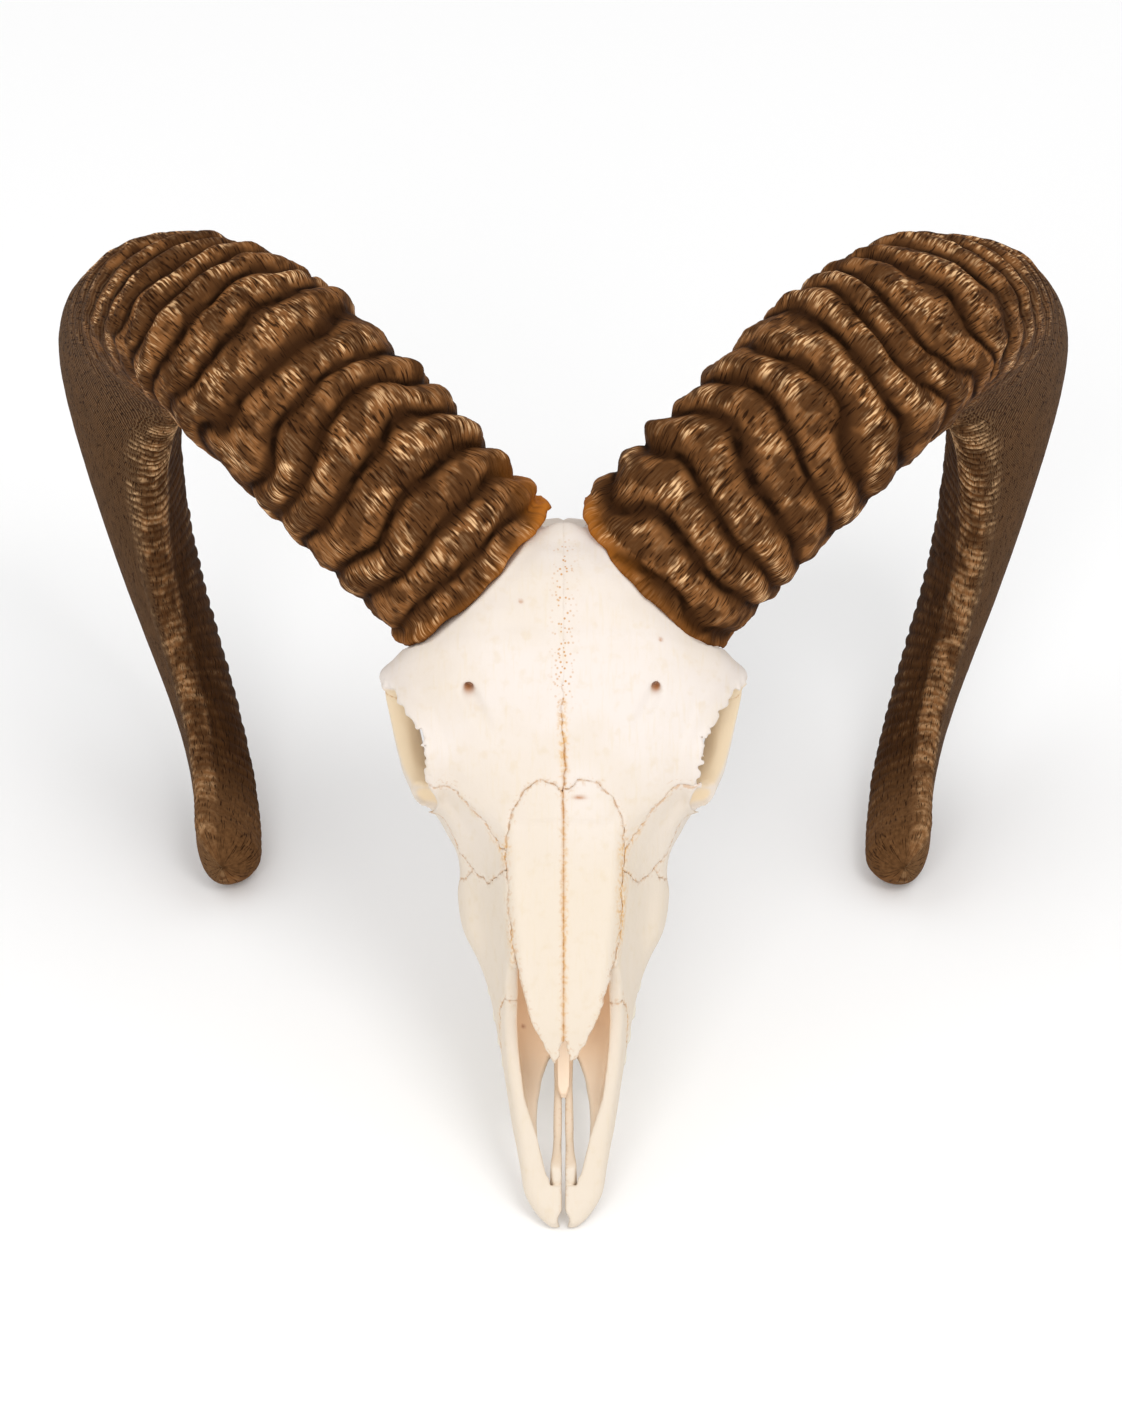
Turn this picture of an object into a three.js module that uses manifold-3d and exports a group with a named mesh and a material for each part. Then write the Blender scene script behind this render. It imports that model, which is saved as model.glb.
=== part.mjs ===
// Mouflon ram skull with both horns, at life size, resting on its nose and its horns.
//
// Skull frame, in millimetres: x to the animal's left, y backwards from the tip of the
// premaxillae, z upwards from the biting plane of the cheek teeth. Rows of a table start
// with their place along the bone, and a smooth curve runs through the rows.
// The whole skull is built as one solid, and is then parted along its sutures.

import * as THREE from 'three';
import { mergeVertices } from 'three/addons/utils/BufferGeometryUtils.js';
import Module from 'manifold-3d';

const wasm = await Module();
wasm.setup();

// Driving dimensions
const SUTURE_GAP = 0.3;
const SIDES = { left: 1, right: -1 };
const BAR_SIDES = 6;
const FAR = 150;

// The face: place, roof height, shoulder half width and height, widest half width and
// height, half width and height of the tooth edge, height of the palate
const FACE = [
  [0, 12, 3, 12, 5, 10, 4, 7.5, 7.5],
  [4, 16, 6, 15, 9, 11, 8, 7, 7.5],
  [10, 22, 9, 20, 13.4, 13, 12, 7.5, 9],
  [18, 30, 11, 27, 15.6, 17, 13.5, 9, 11.5],
  [34, 50, 12, 45, 18.6, 25, 15.5, 12, 14],
  [47, 63.5, 13, 60, 20.4, 33, 17.5, 13, 15.5],
  [60, 70.8, 15, 67, 23, 36, 19.8, 14, 17],
  [75, 78, 17, 74.5, 26.4, 38, 22.6, 14, 18],
  [90, 85.5, 18.5, 82, 31, 40, 26.4, 14, 19],
  [104, 91, 20, 87, 33.8, 45, 29.6, 14, 20],
  [112, 95, 25, 88.5, 34.4, 58, 31, 14.2, 20.3],
  [118, 98, 32, 89, 38.5, 72, 32, 14.5, 20.5],
  [124, 101.5, 38, 92, 44, 75, 32.3, 15, 20.8],
  [130, 105, 42.5, 96, 46.5, 72, 31.5, 15.5, 21],
  [136, 108, 44.5, 98, 48.5, 66, 30, 17, 21.5],
  [141, 111, 45.5, 99, 49.5, 62, 27, 19, 22],
];
const FACE_PLACES = [0, 4, 10, 18, 26, 34, 47, 60, 75, 90, 104, 112, 118, 124, 130, 136, 141];
// Nasal cavity: wall of the nose, side wall at its front end, and where that has thinned out
const NOSE_WALL = 2.8;
const NOSE_CAVITY = { front: 12.5, back: 110, floor: 3.2, frontWall: 9, thinFrom: 40 };

// The frontal roof: place, height at the midline, half width and height of its edge,
// which is the upper rim of the orbit and then the back of the postorbital bar
const ROOF = [
  [108, 93, 19, 88],
  [116, 97, 30, 88],
  [122, 100.5, 38, 91],
  [128, 104, 44.5, 96],
  [136, 109.5, 47.5, 100],
  [144, 113.5, 51, 102],
  [152, 118.5, 55.5, 101],
  [159, 122.5, 59.5, 97.5],
  [163, 124, 58.5, 98],
  [167, 126, 53.5, 102],
  [172, 128, 47.5, 106],
  [180, 130.5, 42, 109],
  [190, 132.5, 37, 112],
  [198, 132, 33, 111],
  [204, 125, 28, 103],
];
const ROOF_PLACES = [108, 116, 122, 128, 136, 144, 152, 159, 163, 167, 172, 180, 190, 198, 204];
const ROOF_DEPTH = 17;

// The braincase: place, half width, lowest and highest point
const BRAINCASE = [
  [112, 21, 40, 92],
  [130, 21, 42, 102],
  [148, 24, 46, 112],
  [160, 29, 46, 118],
  [175, 32, 44, 124],
  [190, 34, 42, 127],
  [203, 35, 41, 122],
  [214, 34.5, 41, 106],
  [224, 32, 43, 89],
  [231, 24, 46, 77],
];
const BRAINCASE_PLACES = [112, 130, 148, 160, 170, 180, 190, 200, 208, 216, 224, 231];

// Orbit: its hollow, and its bony rim as a ring of points from the top, round the front
const ORBIT = { centre: [49, 146, 82], radii: [29, 20.5, 19.5] };
const ORBIT_RIM = [
  [49, 144, 102.5], [44, 129, 97], [42.5, 123.5, 83], [45, 129, 67.5],
  [49, 144, 61], [53.5, 159, 66.5], [56, 165.5, 82], [56.5, 159.5, 97],
];
const RIM_SECTION = { across: 4.4, deep: 3.6 };
const ZYGOMATIC_ARCH = [
  [29, 116, 50], [38, 128, 57], [49.5, 144, 60], [53, 160, 64], [53, 172, 62],
  [50, 186, 60.5], [44, 198, 61], [36, 206, 61.5], [30, 208, 61],
];
const ARCH_SECTION = { across: 3, deep: 5.2 };
const FACIAL_TUBER = { centre: [30.2, 104, 43], radii: [5.4, 17, 8.5] };

// Nasal bones: place and half width of the pair
const NASAL = [
  [36.5, 0.8], [38.5, 3.8], [41.5, 6.8], [49.5, 11.6], [62, 15.6], [71, 17.2], [82, 18.6],
  [97, 19.4], [103, 18.5], [110, 16.2], [116, 12], [119.5, 6.5],
];
const NASAL_DEPTH = 9;

// Outlines seen from the side, as place and height
const NOSE_OPENING = [
  [-30, 52], [-30, 11.5], [2, 12.5], [10, 16], [18, 21.5], [34, 32], [47, 41], [57, 47.5],
  [65, 57], [67, 63], [55, 61.5], [46, 57], [35, 49],
];
const BESIDE_NASALS = [[-30, 130], [-30, 45], [34, 40], [50, 47], [60, 58], [66, 66], [70, 130]];
const PREMAXILLA = [
  [-30, -20], [22, -20], [23.5, 12], [33, 20], [46, 29], [56, 37.5], [62.5, 45], [63, 52],
  [30, 60], [-30, 60],
];
const FRONTAL = [
  [90, 160], [99, 87], [101, 83.5], [107, 83], [112, 85], [119, 89], [126, 93.5], [131, 92],
  [134, 79.5], [171, 79.5], [175, 95], [200, 100], [206, 160],
];
const LACRIMAL = [
  [90, 100], [95.5, 78], [97.5, 68], [104, 62], [113, 60.5], [119, 71], [128, 73.5], [136, 79],
  [136, 100],
];
const ZYGOMATIC = [
  [99, 64], [102, 54], [109, 46], [120, 42.5], [132, 46.5], [150, 42], [181, 42], [181, 54],
  [170, 68], [170, 84], [110, 84],
];
const MAXILLA = [
  [-30, -30], [149, -30], [149, 34], [139, 47], [128, 55], [117, 62], [117, 110], [20, 110],
];
const LACRIMAL_INNER = 20;
const ZYGOMATIC_INNER = 29;

// Palate openings
const PALATINE_FISSURE = [
  [3.9, 22], [5, 18.6], [6.6, 19.4], [8.6, 25], [9.2, 32], [8.7, 41], [7, 51], [4.8, 57.5],
  [3.4, 59], [3.3, 48], [3.5, 34],
];
const PALATINE_BAR = { half: 4.3, front: 12, back: 58, top: 26 };
const PREMAXILLA_GAP = { half: 0.8, back: 42, top: 45 };
const CHOANAE = { half: 12.5, front: 147, back: 190, bottom: 8, top: 44 };
const PTERYGOID = [[137, 18], [168, 17], [177, 22], [182, 38], [178, 54], [137, 54]];
const PTERYGOID_INNER = 13;
const PTERYGOID_OUTER = 15.4;

// Cheek teeth: length and width of each, from the second premolar back
const TEETH = [[8, 7], [9, 9], [9.5, 10.5], [12.5, 12], [16, 13], [18, 12.5]];
const TOOTH_ROW = {
  start: 62, outerStart: 20.4, outerEnd: 33.2, crown: 0.6, root: 15.5, overlap: 0.9,
};

// Horn of one side: a helix about an axis, in a frame that looks straight onto the face,
// with x as above, y up along the forehead and z out of the face, from the frontal crest
const FACE_TILT = THREE.MathUtils.degToRad(31);
const CREST = { place: 196, height: 135 };
const HORN = {
  base: [34.8, -12.8, -33.9],
  axisTurn: THREE.MathUtils.degToRad(30.5),
  axisRise: THREE.MathUtils.degToRad(2.6),
  start: THREE.MathUtils.degToRad(-20.7),
  sweep: THREE.MathUtils.degToRad(264),
  along: 124,
  alongCurve: -0.04,
  tipRounding: 15,
};
// Share of the horn's length, then helix radius, half width, half depth and shift
const HORN_SHAPE = [
  [0, 96.2, 31, 39.7, 0, 0],
  [0.2, 94, 32.4, 36.8, 0, 0],
  [0.35, 93, 26, 33, 0, 0],
  [0.48, 92, 21.8, 29, -1.8, 0],
  [0.58, 91, 17.6, 27.5, -3.2, 0],
  [0.7, 90, 13.4, 25, -3, -1],
  [0.85, 89.7, 10.4, 19.5, 1, 0],
  [1, 89.6, 10, 14.5, 0.8, 0],
];
const HORN_TWIST = [7.8, -1.8, 0.35];
const HORN_KEEL = 0.42;
const HORN_SIDES = 14;
const RIDGES = { firstPitch: 13.5, lastPitch: 10, firstHeight: 2.5, lastHeight: 0.6 };
// Horn core below the horn's base: depth, and its share of the horn's depth and width
const PEDICLE = [[-1, 0.92, 0.86], [8, 0.88, 0.78], [18, 0.82, 0.7], [30, 0.7, 0.62], [46, 0.54, 0.5]];

const bone = { color: 0xefe6d6, roughness: 0.62, metalness: 0 };
const keratin = { color: 0x4a3020, roughness: 0.5, metalness: 0 };

// Values of a table at one place, on a smooth curve through its rows
function rowAt(table, place) {
  const last = table.length - 1;
  const held = THREE.MathUtils.clamp(place, table[0][0], table[last][0]);
  let i = 0;
  while (i < last - 1 && held > table[i + 1][0]) {
    i += 1;
  }
  const [before, from, to, after] = [Math.max(i - 1, 0), i, i + 1, Math.min(i + 2, last)]
    .map((row) => table[row]);
  const span = to[0] - from[0];
  const u = (held - from[0]) / span;
  return from.slice(1).map((value, k) => {
    const column = k + 1;
    const leave = (to[column] - before[column]) / (to[0] - before[0]) * span;
    const reach = (after[column] - value) / (after[0] - from[0]) * span;
    return value * (2 * u ** 3 - 3 * u ** 2 + 1) + to[column] * (3 * u ** 2 - 2 * u ** 3)
      + leave * (u ** 3 - 2 * u ** 2 + u) + reach * (u ** 3 - u ** 2);
  });
}

// Solid of a closed geometry, with its faces turned outwards
function solidOf(geometry) {
  const plain = geometry.index ? geometry.clone() : geometry;
  plain.deleteAttribute('normal');
  plain.deleteAttribute('uv');
  const merged = mergeVertices(plain, 1e-4);
  const points = merged.attributes.position;
  const index = Uint32Array.from(merged.index.array);
  const [a, b, c] = [new THREE.Vector3(), new THREE.Vector3(), new THREE.Vector3()];
  let volume = 0;
  for (let i = 0; i < index.length; i += 3) {
    a.fromBufferAttribute(points, index[i]);
    b.fromBufferAttribute(points, index[i + 1]);
    c.fromBufferAttribute(points, index[i + 2]);
    volume += a.dot(b.cross(c));
  }
  if (volume < 0) {
    for (let i = 0; i < index.length; i += 3) {
      [index[i], index[i + 1]] = [index[i + 1], index[i]];
    }
  }
  const mesh = new wasm.Mesh({
    numProp: 3,
    vertProperties: Float32Array.from(points.array),
    triVerts: index,
  });
  return new wasm.Manifold(mesh);
}

// Solid through rings of points, with flat ends, or joined end to end where it is a loop
function loft(rings, loop = false) {
  const count = rings[0].length;
  const vertices = rings.flat();
  const index = [];
  const steps = loop ? rings.length : rings.length - 1;
  for (let i = 0; i < steps; i += 1) {
    const next = (i + 1) % rings.length;
    for (let j = 0; j < count; j += 1) {
      const k = (j + 1) % count;
      const [a, b, c, d] = [i * count + j, i * count + k, next * count + k, next * count + j];
      index.push(a, b, c, a, c, d);
    }
  }
  if (!loop) {
    for (const [ring, turned] of [[0, true], [rings.length - 1, false]]) {
      const middle = new THREE.Vector3();
      rings[ring].forEach((point) => middle.addScaledVector(point, 1 / count));
      vertices.push(middle);
      for (let j = 0; j < count; j += 1) {
        const [a, b] = [ring * count + j, ring * count + (j + 1) % count];
        index.push(vertices.length - 1, turned ? b : a, turned ? a : b);
      }
    }
  }
  const geometry = new THREE.BufferGeometry().setFromPoints(vertices);
  geometry.setIndex(index);
  return solidOf(geometry);
}

// Ring across the skull from its right half outline, listed from the top round to the bottom
function mirroredRing(place, half) {
  const right = half.map(([x, z]) => new THREE.Vector3(x, place, z));
  const left = half.slice(1, -1).reverse().map(([x, z]) => new THREE.Vector3(-x, place, z));
  return [...right, ...left];
}

// Smooth outline through a few points, as a list of x and z
function smoothOutline(points, count) {
  const curve = new THREE.SplineCurve(points.map(([x, z]) => new THREE.Vector2(x, z)));
  return curve.getPoints(count - 1).map((point) => [point.x, point.y]);
}

// Ring of the face, or of the cavity a wall's thickness inside it
function faceRing(place, wall = 0, sideWall = wall) {
  const [roof, shoulder, shoulderUp, wide, wideUp, edge, edgeUp, palate] = rowAt(FACE, place);
  const floor = wall > 0 ? palate + NOSE_CAVITY.floor : palate;
  const low = wall > 0 ? Math.max(floor, edgeUp + wall) : edgeUp;
  const outline = [
    [0, roof - wall],
    [shoulder * 0.6, roof - wall - (roof - shoulderUp) * 0.35],
    [shoulder - sideWall * 0.8, shoulderUp - wall * 0.6],
    [shoulder * 0.45 + wide * 0.55 - sideWall * 0.95, (shoulderUp + wideUp) * 0.5],
    [wide - sideWall, wideUp],
    [wide * 0.3 + edge * 0.7 - sideWall, (wideUp + edgeUp) * 0.5],
    [edge - sideWall, low],
    [edge * 0.85 - sideWall, wall > 0 ? floor : edgeUp + 0.6],
    [(edge - sideWall) * 0.45, wall > 0 ? floor : palate - 0.4],
    [0, floor],
  ];
  return mirroredRing(place, smoothOutline(outline, 11));
}

function roofRing(place) {
  const [top, half, edge] = rowAt(ROOF, place);
  const drop = top - edge;
  const outline = [
    [0, top],
    [half * 0.3, top - drop * 0.03],
    [half * 0.58, top - drop * 0.17],
    [half * 0.82, top - drop * 0.5],
    [half * 0.96, top - drop * 0.84],
    [half, edge],
    [half - 1, edge - 3.6],
    [half - 5, edge - 5],
    [half * 0.6, Math.min(top - ROOF_DEPTH, edge - 6)],
    [0, Math.min(top - ROOF_DEPTH - 3, edge - 8)],
  ];
  return mirroredRing(place, outline);
}

function braincaseRing(place) {
  const [half, low, high] = rowAt(BRAINCASE, place);
  const middle = (low + high) / 2;
  const outline = [];
  const steps = 7;
  for (let i = 0; i <= steps; i += 1) {
    const turn = Math.PI * i / steps;
    const across = half * Math.sin(turn) ** 0.75;
    outline.push([across, middle + (high - low) / 2 * Math.cos(turn)]);
  }
  return mirroredRing(place, outline);
}

// Bar of bone along a smooth path, as wide across the skull and as deep as its section
function bar(points, side, section, loop = false) {
  const curve = new THREE.CatmullRomCurve3(
    points.map(([x, y, z]) => new THREE.Vector3(x * side, y, z)), loop);
  const steps = loop ? points.length * 2 : (points.length - 1) * 2;
  const rings = [];
  for (let i = 0; i < (loop ? steps : steps + 1); i += 1) {
    const middle = curve.getPoint(i / steps);
    const ahead = curve.getTangent(i / steps);
    const across = new THREE.Vector3(1, 0, 0).addScaledVector(ahead, -ahead.x).normalize();
    const deep = ahead.clone().cross(across);
    const ring = [];
    for (let j = 0; j < BAR_SIDES; j += 1) {
      const turn = Math.PI * 2 * (j + 0.5) / BAR_SIDES;
      ring.push(middle.clone().addScaledVector(across, section.across * Math.cos(turn))
        .addScaledVector(deep, section.deep * Math.sin(turn)));
    }
    rings.push(ring);
  }
  return loft(rings, loop);
}

function ellipsoid(centre, radii, side = 1, fineness = 9) {
  const ball = new THREE.SphereGeometry(1, fineness, Math.round(fineness * 0.7));
  ball.scale(...radii);
  ball.translate(centre[0] * side, centre[1], centre[2]);
  return solidOf(ball);
}

// Outline moved outwards by a gap, at each of its corners
function grown(outline, gap) {
  const corners = outline.map(([x, y]) => new THREE.Vector2(x, y));
  const outwards = THREE.ShapeUtils.isClockWise(corners) ? -1 : 1;
  return corners.map((corner, i) => {
    const before = corners[(i + corners.length - 1) % corners.length];
    const after = corners[(i + 1) % corners.length];
    const into = corner.clone().sub(before).normalize();
    const out = after.clone().sub(corner).normalize();
    const normal = new THREE.Vector2(into.y + out.y, -into.x - out.x).normalize();
    const square = new THREE.Vector2(into.y, -into.x).dot(normal);
    return [
      corner.x + normal.x * outwards * gap / square,
      corner.y + normal.y * outwards * gap / square,
    ];
  });
}

function extruded(outline, depth) {
  const shape = new THREE.Shape(outline.map(([x, y]) => new THREE.Vector2(x, y)));
  return new THREE.ExtrudeGeometry(shape, { depth, bevelEnabled: false });
}

// Prism of a side outline, between two distances from the midline of one side
function sidePrism(outline, side, from, to) {
  const geometry = extruded(outline, to - from);
  const turn = new THREE.Matrix4().makeBasis(
    new THREE.Vector3(0, 1, 0), new THREE.Vector3(0, 0, 1), new THREE.Vector3(side, 0, 0));
  geometry.applyMatrix4(turn);
  geometry.translate(from * side, 0, 0);
  return solidOf(geometry);
}

// Prism of an outline seen from above, between two heights
function plumbPrism(outline, side, from, to) {
  const geometry = extruded(outline.map(([x, y]) => [x * side, y]), to - from);
  geometry.translate(0, 0, from);
  return solidOf(geometry);
}

// Everything on one side of the midline, from a distance off it
function halfSpace(side, from) {
  return sidePrism([[-50, -100], [300, -100], [300, 200], [-50, 200]], side, from, FAR);
}

function joined(solids) {
  return solids.reduce((sum, next) => sum.add(next));
}

function largestBody(solid) {
  return solid.decompose().reduce((most, body) => (body.volume() > most.volume() ? body : most));
}

// A point of the frame that looks straight onto the face, in the skull's frame
function fromFace(x, y, z) {
  return new THREE.Vector3(
    x,
    CREST.place + y * Math.cos(FACE_TILT) - z * Math.sin(FACE_TILT),
    CREST.height + y * Math.sin(FACE_TILT) + z * Math.cos(FACE_TILT));
}

// Middle line of the right horn's helix at a share of its length
const hornAxis = new THREE.Vector3(
  -Math.cos(HORN.axisTurn) * Math.cos(HORN.axisRise),
  -Math.sin(HORN.axisTurn) * Math.cos(HORN.axisRise),
  Math.sin(HORN.axisRise));
const hornFront = new THREE.Vector3(0, 0, 1).addScaledVector(hornAxis, -hornAxis.z).normalize();
const hornUp = hornFront.clone().cross(hornAxis).normalize();
hornUp.multiplyScalar(Math.sign(hornUp.y));

function helixPoint(share) {
  const turn = HORN.start + HORN.sweep * share;
  const [radius, , , shiftX, shiftY] = rowAt(HORN_SHAPE, share);
  const along = HORN.along * (share + HORN.alongCurve * share * (1 - share));
  return hornFront.clone().multiplyScalar(radius * Math.cos(turn))
    .addScaledVector(hornUp, radius * Math.sin(turn))
    .addScaledVector(hornAxis, along)
    .add(new THREE.Vector3(shiftX, shiftY, 0));
}

function hornStation(share) {
  const step = 0.002;
  const middle = helixPoint(share).sub(helixPoint(0))
    .add(new THREE.Vector3(-HORN.base[0], HORN.base[1], HORN.base[2]));
  const ahead = helixPoint(share + step).sub(helixPoint(share - step)).normalize();
  const turn = HORN.start + HORN.sweep * share;
  const inward = hornFront.clone().multiplyScalar(-Math.cos(turn))
    .addScaledVector(hornUp, -Math.sin(turn));
  inward.addScaledVector(ahead, -inward.dot(ahead)).normalize();
  const [still, once, twice] = HORN_TWIST;
  const twist = THREE.MathUtils.degToRad(still + once * share + twice * share * share);
  inward.applyAxisAngle(ahead, twist);
  return { middle, ahead, inward, broad: ahead.clone().cross(inward) };
}

// Ring of the right horn, swollen by an amount that grows towards its front
function hornRing(share, swell, back, margin) {
  const { middle, ahead, inward, broad } = hornStation(share);
  const [, halfWidth, halfDepth] = rowAt(HORN_SHAPE, share);
  const left = (1 - share) * hornLength / HORN.tipRounding;
  const round = left < 1 ? Math.sqrt(Math.max(1 - (1 - left) ** 2, 0.02)) : 1;
  const ring = [];
  for (let i = 0; i < HORN_SIDES; i += 1) {
    const turn = Math.PI * 2 * i / HORN_SIDES;
    const extra = swell * (0.62 - 0.38 * Math.cos(turn)) + margin;
    const depth = (halfDepth + extra) * round * Math.cos(turn);
    const width = (halfWidth + extra) * round * Math.sin(turn) * (1 - HORN_KEEL * Math.cos(turn));
    const point = middle.clone().addScaledVector(inward, depth).addScaledVector(broad, width)
      .addScaledVector(ahead, -back);
    ring.push(point);
  }
  return ring;
}

function measuredHornLength() {
  const pieces = 60;
  let length = 0;
  for (let i = 0; i < pieces; i += 1) {
    length += helixPoint(i / pieces).distanceTo(helixPoint((i + 1) / pieces));
  }
  return length;
}
const hornLength = measuredHornLength();

// Rings of ridges along the horn: a groove, then a rounded crest of three rings
function hornStations() {
  const stations = [];
  let place = 0;
  while (place < hornLength - HORN.tipRounding) {
    const share = place / hornLength;
    const pitch = THREE.MathUtils.lerp(RIDGES.firstPitch, RIDGES.lastPitch, share);
    const height = THREE.MathUtils.lerp(RIDGES.firstHeight, RIDGES.lastHeight, share ** 0.7);
    stations.push([share, -0.45 * height]);
    stations.push([(place + pitch * 0.3) / hornLength, 0.7 * height]);
    stations.push([(place + pitch * 0.66) / hornLength, height]);
    place += pitch;
  }
  const smooth = stations.filter(([share]) => share < 1 - HORN.tipRounding / hornLength);
  for (const left of [12, 8, 4, 1.5, 0]) {
    smooth.push([1 - left / hornLength, 0]);
  }
  return smooth;
}

function toSkull(ring, side) {
  return ring.map((point) => fromFace(-point.x * side, point.y, point.z));
}

function horn(side) {
  const rings = hornStations().map(([share, swell]) => toSkull(hornRing(share, swell, 0, 0), side));
  return loft(rings);
}

// Room that the horn's base takes from the bone round it
function hornSocket(side) {
  const rings = [0, 0.03, 0.06, 0.1, 0.14].map((share, i) => toSkull(
    hornRing(share, RIDGES.firstHeight, i === 0 ? SUTURE_GAP : 0, SUTURE_GAP), side));
  return loft(rings);
}

// Bony core that carries the horn, from inside the braincase to the horn's base
function pedicle(side, margin) {
  const { middle, ahead, broad } = hornStation(0);
  const rings = PEDICLE.map(([depth, deepSize, wideSize]) => hornRing(0, 0, 0, margin)
    .map((point) => {
      const across = point.clone().sub(middle).dot(broad);
      return point.sub(middle).multiplyScalar(deepSize).add(middle)
        .addScaledVector(broad, across * (wideSize - deepSize)).addScaledVector(ahead, -depth);
    }));
  return loft(rings.map((ring) => toSkull(ring, side))).intersect(halfSpace(side, 0));
}

// Region of both nasal bones, seen from above, through the thickness of the roof
function nasalRegion(gap) {
  const rings = NASAL.map(([place, half], i) => {
    const [roof] = rowAt(FACE, place);
    const end = i === NASAL.length - 1 ? gap : 0;
    const [edge, top, bottom] = [half + gap, roof + 12, roof - NASAL_DEPTH - gap];
    return [[-edge, top], [edge, top], [edge, bottom], [-edge, bottom]]
      .map(([x, z]) => new THREE.Vector3(x, place + end, z));
  });
  return loft(rings);
}

function faceShell() {
  return loft(FACE_PLACES.map((place) => faceRing(place)));
}

function noseCavity() {
  const places = FACE_PLACES.filter((p) => p > NOSE_CAVITY.front && p < NOSE_CAVITY.back);
  const rings = [NOSE_CAVITY.front, ...places, NOSE_CAVITY.back].map((place) => {
    const thinned = THREE.MathUtils.mapLinear(place, NOSE_CAVITY.front, NOSE_CAVITY.thinFrom, 0, 1);
    const sideWall = THREE.MathUtils.lerp(NOSE_CAVITY.frontWall, NOSE_WALL, Math.min(thinned, 1));
    return faceRing(place, NOSE_WALL, sideWall);
  });
  return loft(rings);
}

// One cheek tooth, tall from its root in the jaw to its worn crown, with ribs outside
function tooth(place, length, width, outer, side) {
  const rings = [[TOOTH_ROW.root, 0.94], [3, 1], [TOOTH_ROW.crown, 0.9]]
    .map(([height, size]) => {
      const ring = [];
      for (let i = 0; i < 10; i += 1) {
        const turn = Math.PI * 2 * i / 10;
        const rib = 1 + 0.07 * Math.cos(turn * 5);
        const x = outer - width / 2 + width / 2 * size * rib * Math.cos(turn);
        const y = place + length / 2 * size * Math.sign(Math.sin(turn)) * Math.abs(Math.sin(turn)) ** 0.8;
        ring.push(new THREE.Vector3(x * side, y, height));
      }
      return ring;
    });
  return loft(rings);
}

function cheekTeeth(side) {
  const total = TEETH.reduce((sum, [length]) => sum + length, 0);
  let place = TOOTH_ROW.start;
  return joined(TEETH.map(([length, width]) => {
    const middle = place + length / 2;
    place += length;
    const share = (middle - TOOTH_ROW.start) / total;
    const outer = THREE.MathUtils.lerp(TOOTH_ROW.outerStart, TOOTH_ROW.outerEnd, share);
    return tooth(middle, length + TOOTH_ROW.overlap, width, outer, side);
  }));
}

// Lower and hind parts of the braincase of one side
function skullBase(side) {
  const bulla = ellipsoid([20, 202, 37], [7.5, 11, 10], side);
  const earTube = bar([[22, 200, 50], [31, 200, 54], [38, 201, 57]], side, { across: 3, deep: 4.5 });
  const paroccipital = bar([[25, 217, 54], [25, 217, 38], [22.5, 214, 22]], side,
    { across: 2.6, deep: 5 });
  const condyle = ellipsoid([12.5, 231, 50], [9, 9.5, 13], side);
  const tubercle = ellipsoid([7, 210, 42], [5, 8, 5], side, 8);
  const mastoid = ellipsoid([31, 216, 58], [6, 7, 15], side, 10);
  const pterygoid = sidePrism(PTERYGOID, side, PTERYGOID_INNER, PTERYGOID_OUTER);
  return joined([bulla, earTube, paroccipital, condyle, tubercle, mastoid, pterygoid]);
}

function nuchalCrest() {
  return bar([[-34, 215, 64], [-29, 221, 78], [-12, 223.5, 86], [0, 224.5, 87.5], [12, 223.5, 86],
    [29, 221, 78], [34, 215, 64]], 1, { across: 3.5, deep: 3.2 });
}

function wholeSkull() {
  const sides = Object.values(SIDES);
  const core = joined([
    faceShell(),
    loft(ROOF_PLACES.map(roofRing)),
    loft(BRAINCASE_PLACES.map(braincaseRing)),
  ]);
  const orbits = joined(sides.map((side) => ellipsoid(ORBIT.centre, ORBIT.radii, side, 14)));
  const added = joined([
    ...sides.map((side) => bar(ORBIT_RIM, side, RIM_SECTION, true)),
    ...sides.map((side) => bar(ZYGOMATIC_ARCH, side, ARCH_SECTION)),
    ...sides.map((side) => ellipsoid(FACIAL_TUBER.centre, FACIAL_TUBER.radii, side)),
    ...sides.map((side) => pedicle(side, 0)),
    ...sides.map(skullBase),
    nuchalCrest(),
  ]);
  const besideNasals = sidePrism(BESIDE_NASALS, 1, -FAR, FAR).subtract(nasalRegion(0));
  const choanae = sidePrism([
    [CHOANAE.front, CHOANAE.bottom], [CHOANAE.back, CHOANAE.bottom],
    [CHOANAE.back, CHOANAE.top - 8], [CHOANAE.front + 20, CHOANAE.top], [CHOANAE.front, CHOANAE.top - 14],
  ], 1, -CHOANAE.half, CHOANAE.half);
  const { half, back, top } = PREMAXILLA_GAP;
  const betweenTips = sidePrism([[-30, -20], [back, -20], [back, top], [-30, top]], 1, -half, half);
  const openings = joined([
    noseCavity(),
    betweenTips,
    sidePrism(NOSE_OPENING, 1, -FAR, FAR),
    besideNasals,
    ...sides.map((side) => plumbPrism(PALATINE_FISSURE, side, -5, 24)),
    choanae,
    ellipsoid([0, 233, 57], [9, 16, 10], 1, 12),
    ...sides.map(hornSocket),
  ]);
  const withTeeth = core.subtract(orbits).add(added).subtract(openings);
  return joined([withTeeth, ...sides.map(cheekTeeth)]);
}

// Region of one bone of one side, and the same region with the suture's gap round it
function boneRegion(outline, side, inner, gap) {
  return sidePrism(grown(outline, gap), side, inner - gap, FAR);
}

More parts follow.
